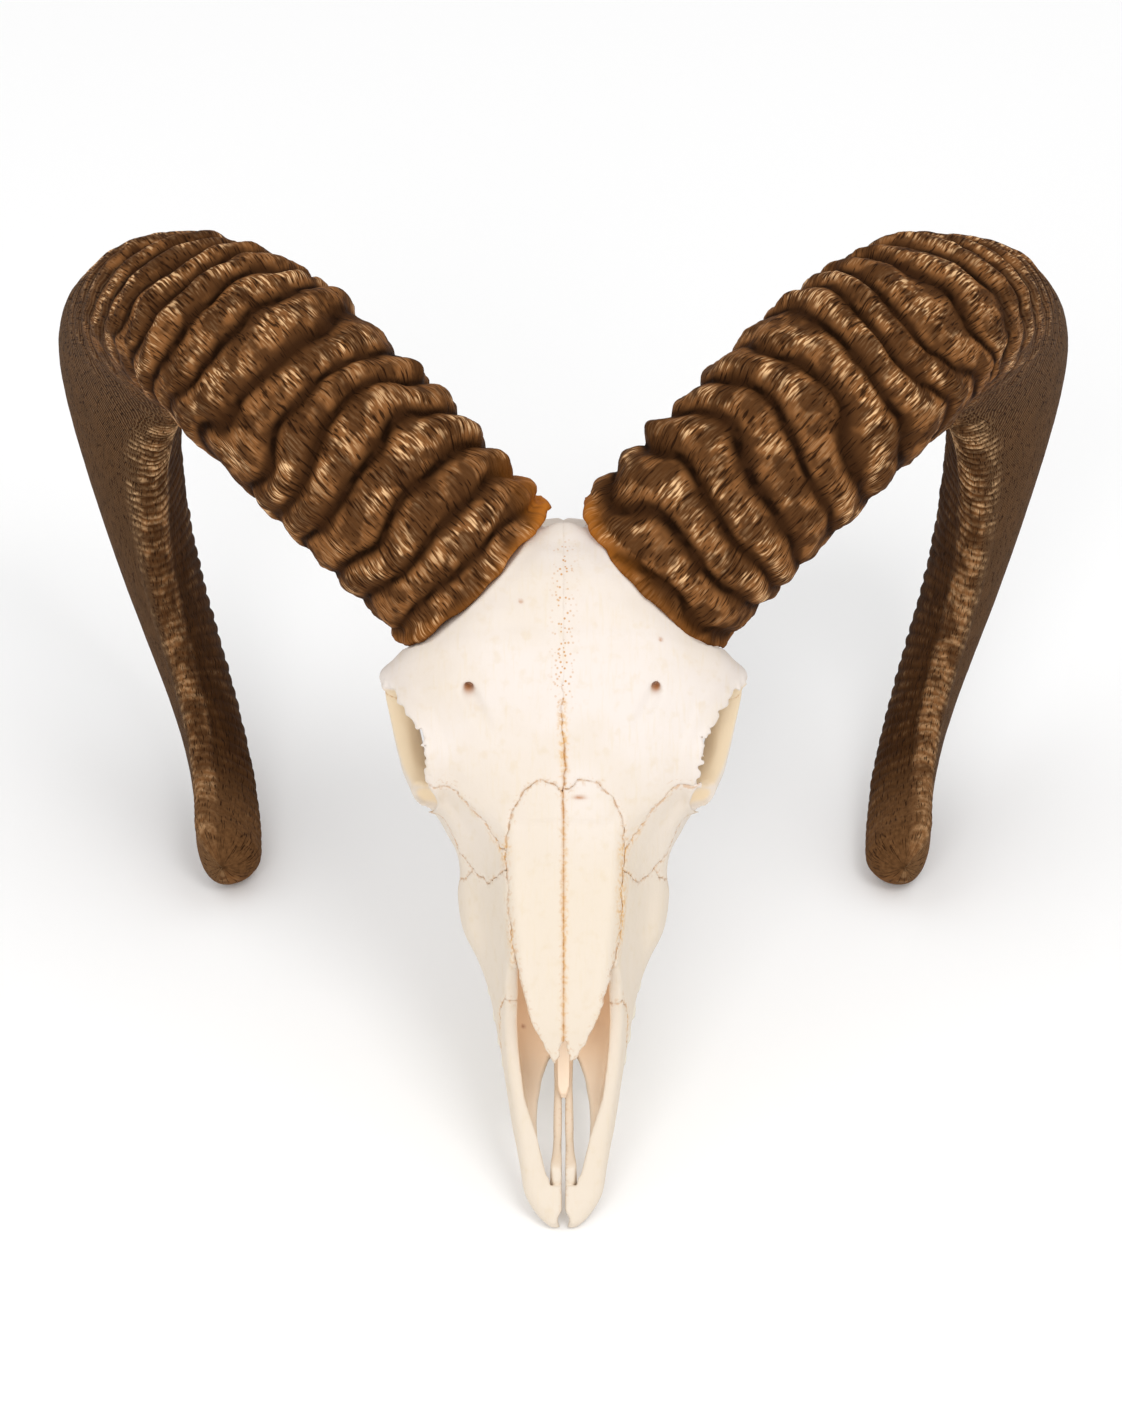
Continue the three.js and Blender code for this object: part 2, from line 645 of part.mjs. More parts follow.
const REGIONS = {
  nasal: (side, gap) => nasalRegion(gap).intersect(halfSpace(side, SUTURE_GAP / 2 - gap)),
  premaxilla: (side, gap) => {
    const barOutline = [[PALATINE_BAR.front, -20], [PALATINE_BAR.back, -20],
      [PALATINE_BAR.back, PALATINE_BAR.top], [PALATINE_BAR.front, PALATINE_BAR.top]];
    const inner = SUTURE_GAP / 2;
    return boneRegion(PREMAXILLA, side, inner, gap)
      .add(sidePrism(grown(barOutline, gap), side, inner - gap, PALATINE_BAR.half + gap));
  },
  frontal: (side, gap) => boneRegion(FRONTAL, side, SUTURE_GAP / 2, gap)
    .add(pedicle(side, 1 + gap).intersect(halfSpace(side, SUTURE_GAP / 2 - gap))),
  lacrimal: (side, gap) => boneRegion(LACRIMAL, side, LACRIMAL_INNER, gap),
  zygomatic: (side, gap) => boneRegion(ZYGOMATIC, side, ZYGOMATIC_INNER, gap),
  maxilla: (side, gap) => boneRegion(MAXILLA, side, SUTURE_GAP / 2, gap),
};

// Septum of the nose, standing on the palate along the midline
function vomer() {
  const outline = [[40, 19.2], [60, 21.4], [80, 22.4], [104, 24.2], [104, 44], [84, 40], [66, 33],
    [50, 25], [41, 21]];
  return sidePrism(outline, 1, -1.2, 1.2);
}

function partedSkull() {
  const bodies = {};
  let rest = wholeSkull();
  for (const [name, region] of Object.entries(REGIONS)) {
    for (const [label, side] of Object.entries(SIDES)) {
      const node = `${name}_${label}`;
      bodies[node] = largestBody(rest.intersect(region(side, 0)));
      rest = rest.subtract(region(side, SUTURE_GAP));
    }
  }
  bodies.cranium = largestBody(rest);
  bodies.vomer = largestBody(vomer());
  return bodies;
}

function meshOf(name, solid, finish) {
  const { vertProperties, triVerts } = solid.getMesh();
  const geometry = new THREE.BufferGeometry();
  geometry.setAttribute('position', new THREE.BufferAttribute(Float32Array.from(vertProperties), 3));
  geometry.setIndex(new THREE.BufferAttribute(Uint32Array.from(triVerts), 1));
  geometry.computeVertexNormals();
  const mesh = new THREE.Mesh(geometry, new THREE.MeshStandardMaterial(finish));
  mesh.name = name;
  return mesh;
}

const skull = new THREE.Group();
for (const [name, solid] of Object.entries(partedSkull())) {
  skull.add(meshOf(name, solid, bone));
}
for (const [label, side] of Object.entries(SIDES)) {
  skull.add(meshOf(`horn_${label}`, horn(side), keratin));
}

// Lowest point of the nose and of the horns at one pitch of the skull
function lowestPoints(pitch) {
  const low = { nose: Infinity, horns: Infinity };
  for (const mesh of skull.children) {
    const points = mesh.geometry.attributes.position;
    for (let i = 0; i < points.count; i += 1) {
      const height = points.getY(i) * Math.sin(pitch) + points.getZ(i) * Math.cos(pitch);
      const end = mesh.name.startsWith('horn') ? 'horns' : 'nose';
      low[end] = Math.min(low[end], height);
    }
  }
  return low;
}

// Pitch at which nose and horns touch the floor together
function restingPitch() {
  let [small, large] = [THREE.MathUtils.degToRad(10), THREE.MathUtils.degToRad(40)];
  for (let i = 0; i < 40; i += 1) {
    const middle = (small + large) / 2;
    const { nose, horns } = lowestPoints(middle);
    if (nose > horns) {
      small = middle;
    } else {
      large = middle;
    }
  }
  return small;
}

// The skull's frame turns to the resting pitch, and the origin goes to the floor below it
skull.rotation.x = restingPitch();
const part = new THREE.Group();
part.add(skull);
part.updateMatrixWorld(true);
const box = new THREE.Box3().setFromObject(part, true);
const middle = box.getCenter(new THREE.Vector3());
skull.position.set(-middle.x, -middle.y, -box.min.z);
part.updateMatrixWorld(true);

export default part;
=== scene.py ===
# Mouflon ram skull with both horns, lying on its nose and its horns on a pale floor.
#
# The skull is worked out in the frame of its face, in millimetres: x to the animal's left,
# y up along the forehead and z out of the face, from the crest between the horns.
# The bones are smooth solids on a fine grid, joined, hollowed and parted along their
# sutures, and the horns are swept surfaces. Each piece then goes to the place of its CAD node.
import math

import bpy
import numpy as np
import openvdb
from mathutils import Matrix, Vector


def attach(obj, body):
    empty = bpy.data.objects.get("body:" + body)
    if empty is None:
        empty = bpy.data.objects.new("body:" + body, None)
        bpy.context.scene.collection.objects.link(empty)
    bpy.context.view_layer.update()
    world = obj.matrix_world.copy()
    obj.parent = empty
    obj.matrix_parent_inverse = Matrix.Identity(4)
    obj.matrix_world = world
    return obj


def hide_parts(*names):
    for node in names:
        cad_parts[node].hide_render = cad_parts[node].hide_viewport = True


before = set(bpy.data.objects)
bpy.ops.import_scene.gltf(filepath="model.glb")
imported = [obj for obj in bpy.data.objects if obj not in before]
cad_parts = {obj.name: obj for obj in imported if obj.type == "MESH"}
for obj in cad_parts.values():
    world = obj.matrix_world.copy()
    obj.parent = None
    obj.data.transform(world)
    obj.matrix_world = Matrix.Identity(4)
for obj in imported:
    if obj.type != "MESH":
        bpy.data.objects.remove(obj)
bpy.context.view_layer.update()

MM = 0.001
SIDES = {"left": 1, "right": -1}

# Face frame, set into the skull's own frame: place behind the nose, height over the teeth
FACE_TILT = math.radians(31)
CREST_PLACE = 196.0
CREST_HEIGHT = 135.0

# Bone grid in the face frame, for the half of the skull with x above zero
CELL = 0.7
BAND = 8
GRID_LOW = np.array([-3.5, -240.0, -112.0])
GRID_HIGH = np.array([68.0, 14.0, 22.0])
# Share of the cranium's triangles that stays, since it has the largest surface
CRANIUM_KEPT = 0.85
# How far each bone reaches past its sutures and past the midline, and the gap round the horns
SUTURE_CLOSING = 0.1
MIDLINE_CLOSING = 0.15
OPEN_GAP = 0.1
# The suture between the frontals: how far it waves, and between which heights it grows shut
MIDLINE_WAVE = 0.9
MIDLINE_SHUT = (-58, -44)

# The face: place, roof height, shoulder half width and height, widest half width and
# height, half width and height of the tooth edge, height of the palate
FACE = [
    [0, 12, 3, 12, 5, 10, 4, 7.5, 7.5],
    [4, 16, 6, 15, 9, 11, 8, 7, 7.5],
    [10, 22, 9, 20, 12.9, 13, 11.6, 7.5, 9],
    [18, 30, 11, 27, 14.4, 17, 12.6, 9, 11.5],
    [34, 50, 12, 45, 17.7, 25, 15, 12, 14],
    [47, 63.5, 13, 60, 20, 33, 17.3, 13, 15.5],
    [60, 70.8, 15, 67, 22.2, 36, 19.4, 14, 17],
    [75, 78, 17, 74.5, 25.2, 38, 22, 14, 18],
    [90, 85.5, 18.5, 82, 29.8, 40, 26, 14, 19],
    [104, 91, 20, 87, 33.8, 45, 29.6, 14, 20],
    [112, 95, 25, 88.5, 34.4, 58, 31, 14.2, 20.3],
    [118, 98, 32, 89, 38.5, 72, 32, 14.5, 20.5],
    [124, 101.5, 38, 92, 44, 75, 32.3, 15, 20.8],
    [130, 105, 42.5, 96, 46.5, 72, 31.5, 15.5, 21],
    [136, 108, 44.5, 98, 48.5, 66, 30, 17, 21.5],
    [141, 111, 45.5, 99, 49.5, 62, 27, 19, 22],
]

NOSE_WALL = 2.4
NOSE_CAVITY = {"front": 12, "back": 110, "floor": 3.2}
# Place and lowest height of the nose's floor, then place and thickness of its side walls
NOSE_FLOOR = [[12, 22.2], [16, 20.3], [20, 18.7], [26, 17.3], [34, 16.7]]
NOSE_SIDE_WALL = [[14, 8.6], [20, 7.6], [27, 6], [36, 4.1], [45, 4.3], [64, 4.6], [78, 2.4]]

# The frontal roof: place, height at the midline, half width and height of its edge
ROOF = [
    [108, 93, 19, 88],
    [116, 97, 30, 88],
    [122, 100.5, 38, 91],
    [128, 104, 44.5, 96],
    [136, 109.5, 47.5, 100],
    [144, 113.5, 51, 102],
    [152, 118.5, 55.5, 101],
    [159, 122.5, 59.5, 97.5],
    [163, 124, 58.5, 98],
    [167, 126, 53.5, 102],
    [172, 128, 47.5, 106],
    [180, 130.5, 42, 109],
    [190, 130, 37, 112],
    [198, 126, 33, 109],
    [203, 119, 28, 102],
]
ROOF_DEPTH = 17

# The braincase: place, half width, lowest and highest point
BRAINCASE = [
    [112, 21, 40, 92],
    [130, 21, 42, 102],
    [148, 24, 46, 112],
    [160, 29, 46, 118],
    [175, 32, 44, 124],
    [190, 34, 42, 125],
    [203, 35, 41, 118.5],
    [214, 34.5, 41, 103],
    [224, 32, 43, 89],
    [231, 24, 46, 77],
]

# Orbit: its hollow, and its bony rim as a ring of points from the top, round the front
ORBIT = {"centre": (49, 146, 82), "radii": (29, 20.5, 19.5)}
ORBIT_RIM = [
    [49, 144, 102.5], [44, 129, 97], [42.5, 123.5, 83], [45, 129, 67.5],
    [49, 144, 61], [53.5, 159, 66.5], [56, 165.5, 82], [56.5, 159.5, 97],
]
ZYGOMATIC_ARCH = [
    [29, 116, 50], [38, 128, 57], [49.5, 144, 60], [53, 160, 64], [53, 172, 62],
    [50, 186, 60.5], [44, 198, 61], [36, 206, 61.5], [30, 208, 61],
]
FACIAL_TUBER = {"centre": (30.2, 106, 43), "radii": (4.2, 15, 8.5)}
CREST_BOSS = {"centre": (0, 196, 125), "radii": (8, 6, 4.6)}

# Outlines seen from the side, as place and height
NOSE_OPENING = [
    [-30, 52], [-30, 11.5], [2, 12.5], [10, 16], [18, 21.5], [34, 32], [47, 41], [57, 47.5],
    [65, 58], [68, 65], [55, 61.5], [46, 57], [35, 49],
]
BESIDE_NASALS = [[-30, 130], [-30, 45], [34, 40], [50, 47], [59, 54], [65, 62], [69.5, 71], [71, 130]]
PREMAXILLA = [
    [-30, -20], [22, -20], [23.5, 12], [33, 20], [46, 29], [56, 37.5], [62.5, 45], [63, 52],
    [30, 60], [-30, 60],
]
FRONTAL = [
    [90, 160], [99, 87], [101, 83.5], [107, 83], [112, 85], [119, 89], [126, 93.5], [131, 92],
    [134, 79.5], [171, 79.5], [175, 95], [200, 100], [206, 160],
]
LACRIMAL = [
    [90, 100], [95.5, 78], [97.5, 68], [104, 62], [113, 60.5], [119, 71], [128, 73.5], [136, 79],
    [136, 100],
]
ZYGOMATIC = [
    [107, 66], [106, 56], [110, 47], [120, 42.5], [132, 46.5], [150, 42], [181, 42], [181, 54],
    [170, 68], [170, 84], [112, 84],
]
MAXILLA = [
    [-30, -30], [149, -30], [149, 34], [139, 47], [128, 55], [117, 62], [117, 110], [20, 110],
]
# Upper opening of each orbit as the face shows it, how deep it goes, and how ragged its rim is
ORBIT_OPENING = [
    [61.5, -53.4], [56.6, -55.6], [53, -60.4], [49.8, -66.4], [47.2, -70.4], [46.2, -69], [45.8, -74],
    [45.8, -80], [45, -86.5], [43.6, -88.2], [41.6, -92.6], [42.8, -95], [46.5, -96], [53, -97.5],
    [60, -92], [60, -80], [64, -62],
]
ORBIT_OPENING_BACK = -27.0
ORBIT_RAGGED = 1.6
# Small pits as the face shows them: across, up, and how much longer than high
PITS = [(-14.0, -26.0, 1.0), (32.0, -38.5, 1.0), (5.2, -90.4, 3.2), (-13.5, -168.0, 1.0)]
# Foramen over each eye, as the face shows it
FORAMEN = {"left": (30.6, -54.4), "right": (31.4, -54.4)}
# Ochre stains along the sutures: across, up, half width, half height, strength
STAINS = [
    (19.6, -127, 2.4, 19, 1.0), (18.8, -108.5, 3.2, 3.6, 1.0), (-19.4, -108.5, 2.6, 3.2, 0.9),
    (-17.4, -140, 1.6, 9, 0.7), (0, -73, 2.0, 14, 1.0), (0.4, -132, 1.2, 45, 0.75),
    (24.5, -104, 5, 4, 0.5), (-25, -105, 5, 4, 0.4), (22, -166, 3, 8, 0.35), (-21.5, -166, 3, 8, 0.35),
]
LACRIMAL_INNER = 17
ZYGOMATIC_INNER = 29
NASAL_DEPTH = 9

# Nasal bones as the face shows them, from the midline at their top: half width, height
NASAL = {
    "left": [
        [-5, -86], [1, -88], [5, -84.7], [11.7, -85.6], [16.4, -91], [19.6, -98], [20.2, -108],
        [19, -122], [18.6, -136], [16.3, -146], [11.6, -162], [7.2, -171], [4.2, -176.2],
        [2.6, -177.6], [0.4, -170], [-5, -165],
    ],
    "right": [
        [-5, -87], [1, -88.4], [3.2, -86], [8, -84.7], [13, -88], [16.3, -94.6], [18.6, -103],
        [18.9, -114], [18, -125], [17, -137], [14.6, -149], [11.2, -162], [6.6, -172],
        [3.4, -177.4], [2.2, -178.2], [0.4, -171], [-5, -166],
    ],
}

# Palate openings
PALATINE_FISSURE = [
    [3.4, 29], [3.7, 23.5], [4.3, 18.8], [5.3, 14.8], [6.3, 17.4], [7.4, 21.5], [8.6, 28],
    [9, 35], [8.6, 42], [7, 51], [4.8, 57.5], [3.4, 59], [3.2, 48],
]
PALATINE_BAR = {"half": 4.3, "outline": [[12, -20], [58, -20], [58, 26], [12, 26]]}
PREMAXILLA_GAP = {"half": 0.6, "back": 44, "top": 45}
CHOANAE = {"half": 12.5, "outline": [[147, 8], [190, 8], [190, 36], [167, 44], [147, 30]]}

# Plates seen from the side, as place and height, and how thick they are to each side
PTERYGOID = [[137, 18], [168, 17], [177, 22], [182, 38], [178, 54], [137, 54]]
PTERYGOID_HALF = 1.2
SEPTUM = [
    [42.5, 19.4], [45, 19.8], [50, 20.4], [60, 21.4], [80, 22.4], [104, 24.2], [104, 44],
    [84, 40], [66, 33], [50, 25], [45.2, 22.9], [43, 21.5],
]
SEPTUM_HALF = {"front": 0.6, "behind": 1.9}

# Cheek teeth: length and width of each, from the second premolar back
TEETH = [[8, 7], [9, 9], [9.5, 10.5], [12.5, 12], [16, 13], [18, 12.5]]
TOOTH_ROW = {"start": 62, "outer_start": 20.4, "outer_end": 33.2, "overlap": 0.4}
# Height over the tooth plane and size of a tooth's rings, from its root to its worn face
TOOTH_PROFILE = [
    [15.5, 0.94], [9, 0.98], [3, 1], [1.2, 0.97], [0.6, 0.9], [0.9, 0.7], [1.6, 0.5]]

# Horn of one side: a helix about an axis in the face frame
HORN = {
    "base": (34.8, -12.8, -33.9),
    "axis_turn": math.radians(30.5),
    "axis_rise": math.radians(2.6),
    "start": math.radians(-20.7),
    "sweep": math.radians(264),
    "along": 124.0,
    "along_curve": -0.04,
    "tip_rounding": 15.0,
    "keel": 0.42,
}
# Share of the horn's length, then helix radius, half width, half depth and shift
HORN_SHAPE = [
    [0, 96.2, 31, 39.7, 0, 0],
    [0.2, 94, 32.4, 36.8, 0, 0],
    [0.35, 93, 26, 33, 0, 0],
    [0.48, 92, 21.8, 29, -1.8, 0],
    [0.58, 91, 17.6, 27.5, -3.2, 0],
    [0.7, 90, 13.4, 25, -3, -1],
    [0.85, 89.7, 10.4, 19.5, 1, 0],
    [1, 89.6, 10, 14.5, 0.8, 0],
]
HORN_TWIST = (7.8, -1.8, 0.35)
# Horn core below the horn's base: depth, and its share of the horn's depth and width
PEDICLE = [[-1, 0.92, 0.86], [8, 0.88, 0.78], [18, 0.82, 0.7], [30, 0.7, 0.62], [46, 0.54, 0.5]]

# Points round the horn's base where the bone meets it, then points round the horn's own
# surface, and the distance there from ring to ring
BASE_AROUND = 48
HORN_AROUND = 132
HORN_STEP = 0.62
# Place along the horn and the distance from ridge to ridge there
RIDGE_PITCH = [[0, 8.5], [18, 10.5], [45, 13.5], [120, 12.5], [165, 9], [200, 5.6], [260, 4.8], [440, 4.4]]
# Place along the horn and the height of its ridges there
RIDGE_HEIGHT = [
    [0, 2.2], [25, 4.2], [115, 4.0], [165, 2.6], [205, 1.3], [300, 0.8], [400, 0.5], [440, 0.1]]
# How far ridges lag behind on the outer face, where they run on as fine slanting lines
RIDGE_SLANT = 72.0
FINE_LINE_PITCH = 1.9
# Sizes of the horn's relief, in millimetres apart from the share of a ridge that it wanders
RELIEF = {
    "Ridge wander": 0.75,
    "Fold size": 9.0,
    "Fold height": 1.0,
    "Rib pitch": 4.0,
    "Rib height": 0.9,
}
# How far the horn's thin edge reaches along it
LIP = 2.6

# Camera in the face frame, and the photograph's scale at the crest
CAMERA_DISTANCE = 1800.0
CAMERA_AIM_UP = -58.74
CAMERA_AIM_ACROSS = -0.83
MM_PER_PIXEL = 0.33
IMAGE_HEIGHT = 1402
SENSOR_HEIGHT = 24.0

# Studio, in metres and watts
FLOOR_HALF = 6.0
SKY = 0.88
LIGHTS = [("key light", (0.55, -1.25, 1.8), 11), ("fill light", (-0.4, -1.7, 1.25), 9)]
LIGHT_TARGET = (0, 0, 0.1)
LIGHT_SIZE = 0.7


def eased(share):
    return share * share * (3 - 2 * share)


def step_between(values, low, high):
    return eased(np.clip((values - low) / (high - low), 0, 1))


def near(distance, width):
    return np.exp(-(distance / width) ** 2)


def on_curve(start, end, leave, reach, u):
    """Point between two others, on a curve with given slopes at both."""
    return (
        start * (2 * u**3 - 3 * u**2 + 1)
        + end * (3 * u**2 - 2 * u**3)
        + leave * (u**3 - 2 * u**2 + u)
        + reach * (u**3 - u**2)
    )


def row_at(table, place):
    """Values of a table at one place, on a smooth curve through its rows."""
    last = len(table) - 1
    held = min(max(place, table[0][0]), table[last][0])
    i = 0
    while i < last - 1 and held > table[i + 1][0]:
        i += 1
    before, start, end, after = (
        np.array(table[k], float) for k in (max(i - 1, 0), i, i + 1, min(i + 2, last))
    )
    span = end[0] - start[0]
    u = (held - start[0]) / span
    leave = (end - before) / (end[0] - before[0]) * span
    reach = (after - start) / (after[0] - start[0]) * span
    return on_curve(start, end, leave, reach, u)[1:]


def curve_through(points, count, loop=False):
    """Evenly shared points on a smooth curve through a few points."""
    points = np.array(points, float)
    total = len(points)
    spans = total if loop else total - 1
    at = np.linspace(0, spans, count, endpoint=not loop)
    i = np.minimum(at.astype(int), spans - 1)
    u = (at - i)[:, None]

    def row(shift):
        k = i + shift
        return points[k % total] if loop else points[np.clip(k, 0, total - 1)]

    before, start, end, after = row(-1), row(0), row(1), row(2)
    return on_curve(start, end, (end - before) / 2, (after - start) / 2, u)


def to_face(points):
    """Points of the skull's frame in the frame of the face."""
    points = np.asarray(points, float)
    place = points[..., 1] - CREST_PLACE
    height = points[..., 2] - CREST_HEIGHT
    up = place * math.cos(FACE_TILT) + height * math.sin(FACE_TILT)
    out = height * math.cos(FACE_TILT) - place * math.sin(FACE_TILT)
    return np.stack([points[..., 0], up, out], -1)


def to_skull(points):
    """Points of the face's frame in the skull's own frame."""
    points = np.asarray(points, float)
    up = points[..., 1]
    out = points[..., 2]
    place = CREST_PLACE + up * math.cos(FACE_TILT) - out * math.sin(FACE_TILT)
    height = CREST_HEIGHT + up * math.sin(FACE_TILT) + out * math.cos(FACE_TILT)
    return np.stack([points[..., 0], place, height], -1)


# The septum is a flat plate whose two end corners are known in the skull's frame, so the
# packed one tells how far the skull is pitched and where its frame lies on the floor
SEPTUM_FRONT = (40.0, 19.2)
SEPTUM_TOP = (104.0, 44.0)


def skull_placement():
    """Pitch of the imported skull, as an angle and as a matrix, and where its frame lies."""
    corners = np.array([v.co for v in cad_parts["vomer"].data.vertices]) / MM
    front = corners[corners[:, 2].argmin()]
    top = corners[corners[:, 2].argmax()]
    lying = math.atan2(SEPTUM_TOP[1] - SEPTUM_FRONT[1], SEPTUM_TOP[0] - SEPTUM_FRONT[0])
    raised = math.atan2(top[2] - front[2], top[1] - front[1])
    pitch = raised - lying
    turn = np.array(Matrix.Rotation(pitch, 3, "X"))
    place = turn @ np.array([0.0, *SEPTUM_FRONT])
    return pitch, turn, np.array([0.0, front[1], front[2]]) - place


PITCH, TURN, SHIFT = skull_placement()


def to_row(points):
    """Points of the face's frame in the row's frame, in metres."""
    return (to_skull(points) @ TURN.T + SHIFT) * MM


# Bone grid

SHAPE = np.ceil((GRID_HIGH - GRID_LOW) / CELL).astype(int)
AXES = [GRID_LOW[k] + CELL * np.arange(SHAPE[k]) for k in range(3)]
X = AXES[0].astype(np.float32)[:, None, None]
Y = AXES[1].astype(np.float32)[None, :, None]
Z = AXES[2].astype(np.float32)[None, None, :]
PLACE = (CREST_PLACE + Y * math.cos(FACE_TILT) - Z * math.sin(FACE_TILT)).astype(np.float32)
HEIGHT = (CREST_HEIGHT + Y * math.sin(FACE_TILT) + Z * math.cos(FACE_TILT)).astype(np.float32)


def noise(shape, period, seed):
    """Smooth noise between -1 and 1, with lumps that many cells wide."""
    values = np.random.default_rng(seed).uniform(
        -1, 1, [int(n / period) + 3 for n in shape]).astype(np.float32)
    for axis, n in enumerate(shape):
        at = np.arange(n, dtype=np.float32) / period
        low = at.astype(int)
        u = eased(at - low).reshape([n if k == axis else 1 for k in range(len(shape))])
        values = np.take(values, low, axis) * (1 - u) + np.take(values, low + 1, axis) * u
    return values


def ring_faces(rings, around, loop):
    """Triangles between rings of points, with a fan on each end where it isn't a loop."""
    steps = rings if loop else rings - 1
    i = np.arange(steps)[:, None] * around
    after = ((np.arange(steps) + 1) % rings)[:, None] * around
    j = np.arange(around)[None, :]
    k = (j + 1) % around
    a, b, c, d = i + j, i + k, after + k, after + j
    faces = [np.stack([a, b, c], -1).reshape(-1, 3), np.stack([a, c, d], -1).reshape(-1, 3)]
    if not loop:
        j = np.arange(around)
        k = (j + 1) % around
        first = np.full(around, rings * around)
        last = (rings - 1) * around
        faces.append(np.stack([first, k, j], -1))
        faces.append(np.stack([first + 1, last + j, last + k], -1))
    return np.concatenate(faces)


def lofted(rings, loop=False, in_face=False):
    """Distance to the solid through rings of points, below zero inside it."""
    rings = np.asarray(rings, float)
    points = rings.reshape(-1, 3)
    if not loop:
        points = np.concatenate([points, [rings[0].mean(0), rings[-1].mean(0)]])
    if not in_face:
        points = to_face(points)
    cells = ((points - GRID_LOW) / CELL).astype(np.float32)
    faces = ring_faces(rings.shape[0], rings.shape[1], loop).astype(np.uint32)
    grid = openvdb.FloatGrid.createLevelSetFromPolygons(cells, triangles=faces, halfWidth=BAND)
    field = np.full(tuple(SHAPE), BAND, np.float32)
    grid.copyToArray(field)
    return field * CELL


def mirrored_ring(place, half):
    """Ring across the skull at one place, from its points on the side with x above zero."""
    half = np.array(half)
    across = np.concatenate([half[:, 0], -half[-2:0:-1, 0]])
    up = np.concatenate([half[:, 1], half[-2:0:-1, 1]])
    return np.stack([across, np.full(len(across), place), up], -1)


def face_ring(place, wall=0, side_wall=0):
    """Ring of the face, or of the nose's cavity a wall's thickness inside it."""
    roof, shoulder, shoulder_up, wide, wide_up, edge, edge_up, palate = row_at(FACE, place)
    lowest = np.interp(place, *np.array(NOSE_FLOOR).T)
    floor = max(palate + NOSE_CAVITY["floor"], lowest) if wall else palate
    low = max(floor, edge_up + wall) if wall else edge_up
    outline = [
        [0, roof - wall],
        [shoulder * 0.6, roof - wall - (roof - shoulder_up) * 0.35],
        [shoulder - side_wall * 0.8, shoulder_up - wall * 0.6],
        [shoulder * 0.45 + wide * 0.55 - side_wall * 0.95, (shoulder_up + wide_up) * 0.5],
        [wide - side_wall, wide_up],
        [wide * 0.3 + edge * 0.7 - side_wall, (wide_up + edge_up) * 0.5],
        [edge - side_wall, low],
        [edge * 0.85 - side_wall, floor if wall else edge_up + 0.6],
        [(edge - side_wall) * 0.45, floor if wall else palate - 0.4],
        [0, floor],
    ]
    return mirrored_ring(place, curve_through(outline, 40))


def roof_ring(place):
    top, half, edge = row_at(ROOF, place)
    drop = top - edge
    outline = [
        [0, top],
        [half * 0.3, top - drop * 0.03],
        [half * 0.58, top - drop * 0.17],
        [half * 0.82, top - drop * 0.5],
        [half * 0.96, top - drop * 0.84],
        [half, edge],
        [half - 1, edge - 3.6],
        [half - 5, edge - 5],
        [half * 0.6, min(top - ROOF_DEPTH, edge - 6)],
        [0, min(top - ROOF_DEPTH - 3, edge - 8)],
    ]
    return mirrored_ring(place, curve_through(outline, 46))


def braincase_ring(place):
    half, low, high = row_at(BRAINCASE, place)
    turn = np.linspace(0, math.pi, 30)
    across = half * np.sin(turn).clip(0) ** 0.75
    up = (low + high) / 2 + (high - low) / 2 * np.cos(turn)
    return mirrored_ring(place, np.stack([across, up], -1))


def bar(points, across, deep, loop=False):
    """Solid bar of bone along a smooth path."""
    count = len(points) * 6
    path = curve_through(points, count, loop)
    if loop:
        ahead = np.roll(path, -1, 0) - np.roll(path, 1, 0)
    else:
        ahead = np.gradient(path, axis=0)
    ahead /= np.linalg.norm(ahead, axis=1)[:, None]
    side = np.array([1.0, 0, 0]) - ahead * ahead[:, :1]
    side /= np.linalg.norm(side, axis=1)[:, None]
    down = np.cross(ahead, side)
    turn = np.linspace(0, 2 * math.pi, 16, endpoint=False)[None, :, None]
    rings = path[:, None] + side[:, None] * across * np.cos(turn) + down[:, None] * deep * np.sin(turn)
    return lofted(rings, loop)


def ball(centre, radii):
    """Rough distance to a ball stretched along the skull's own axes."""
    x = (X - centre[0]) / radii[0]
    y = (PLACE - centre[1]) / radii[1]
    z = (HEIGHT - centre[2]) / radii[2]
    return (np.sqrt(x * x + y * y + z * z) - 1) * min(radii)


def outline_distance(u, v, outline):
    """Distance to a closed outline in a plane, below zero inside it."""
    shape = np.broadcast(u, v).shape
    nearest = np.full(shape, 1e6, np.float32)
    inside = np.zeros(shape, bool)
    points = np.array(outline, np.float32)
    for (ax, ay), (bx, by) in zip(points, np.roll(points, -1, 0)):
        run, rise = bx - ax, by - ay
        share = np.clip(((u - ax) * run + (v - ay) * rise) / (run * run + rise * rise), 0, 1)
        nearest = np.minimum(nearest, (u - ax - share * run) ** 2 + (v - ay - share * rise) ** 2)
        if rise:
            inside ^= ((ay > v) != (by > v)) & (u < (v - ay) * run / rise + ax)
    return np.where(inside, -1, 1) * np.sqrt(nearest)


def joined(first, second, blend):
    """Both solids, with a soft fillet where they meet."""
    mix = np.clip(0.5 + 0.5 * (second - first) / blend, 0, 1)
    return second + (first - second) * mix - blend * mix * (1 - mix)


def cut(first, second, blend):
    """The first solid without the second, with a soft edge."""
    return -joined(-first, second, blend)


def softened(field):
    """Field with the facets of its solids smoothed out."""
    for axis in range(3):
        field = (np.roll(field, 1, axis) + 2 * field + np.roll(field, -1, axis)) / 4
    return field


# Horn as a helix, for the right side in the face frame

HORN_AXIS = np.array([
    -math.cos(HORN["axis_turn"]) * math.cos(HORN["axis_rise"]),
    -math.sin(HORN["axis_turn"]) * math.cos(HORN["axis_rise"]),
    math.sin(HORN["axis_rise"]),
])
HORN_FRONT = np.array([0, 0, 1.0]) - HORN_AXIS * HORN_AXIS[2]
HORN_FRONT /= np.linalg.norm(HORN_FRONT)
HORN_UP = np.cross(HORN_FRONT, HORN_AXIS)
HORN_UP *= np.sign(HORN_UP[1])


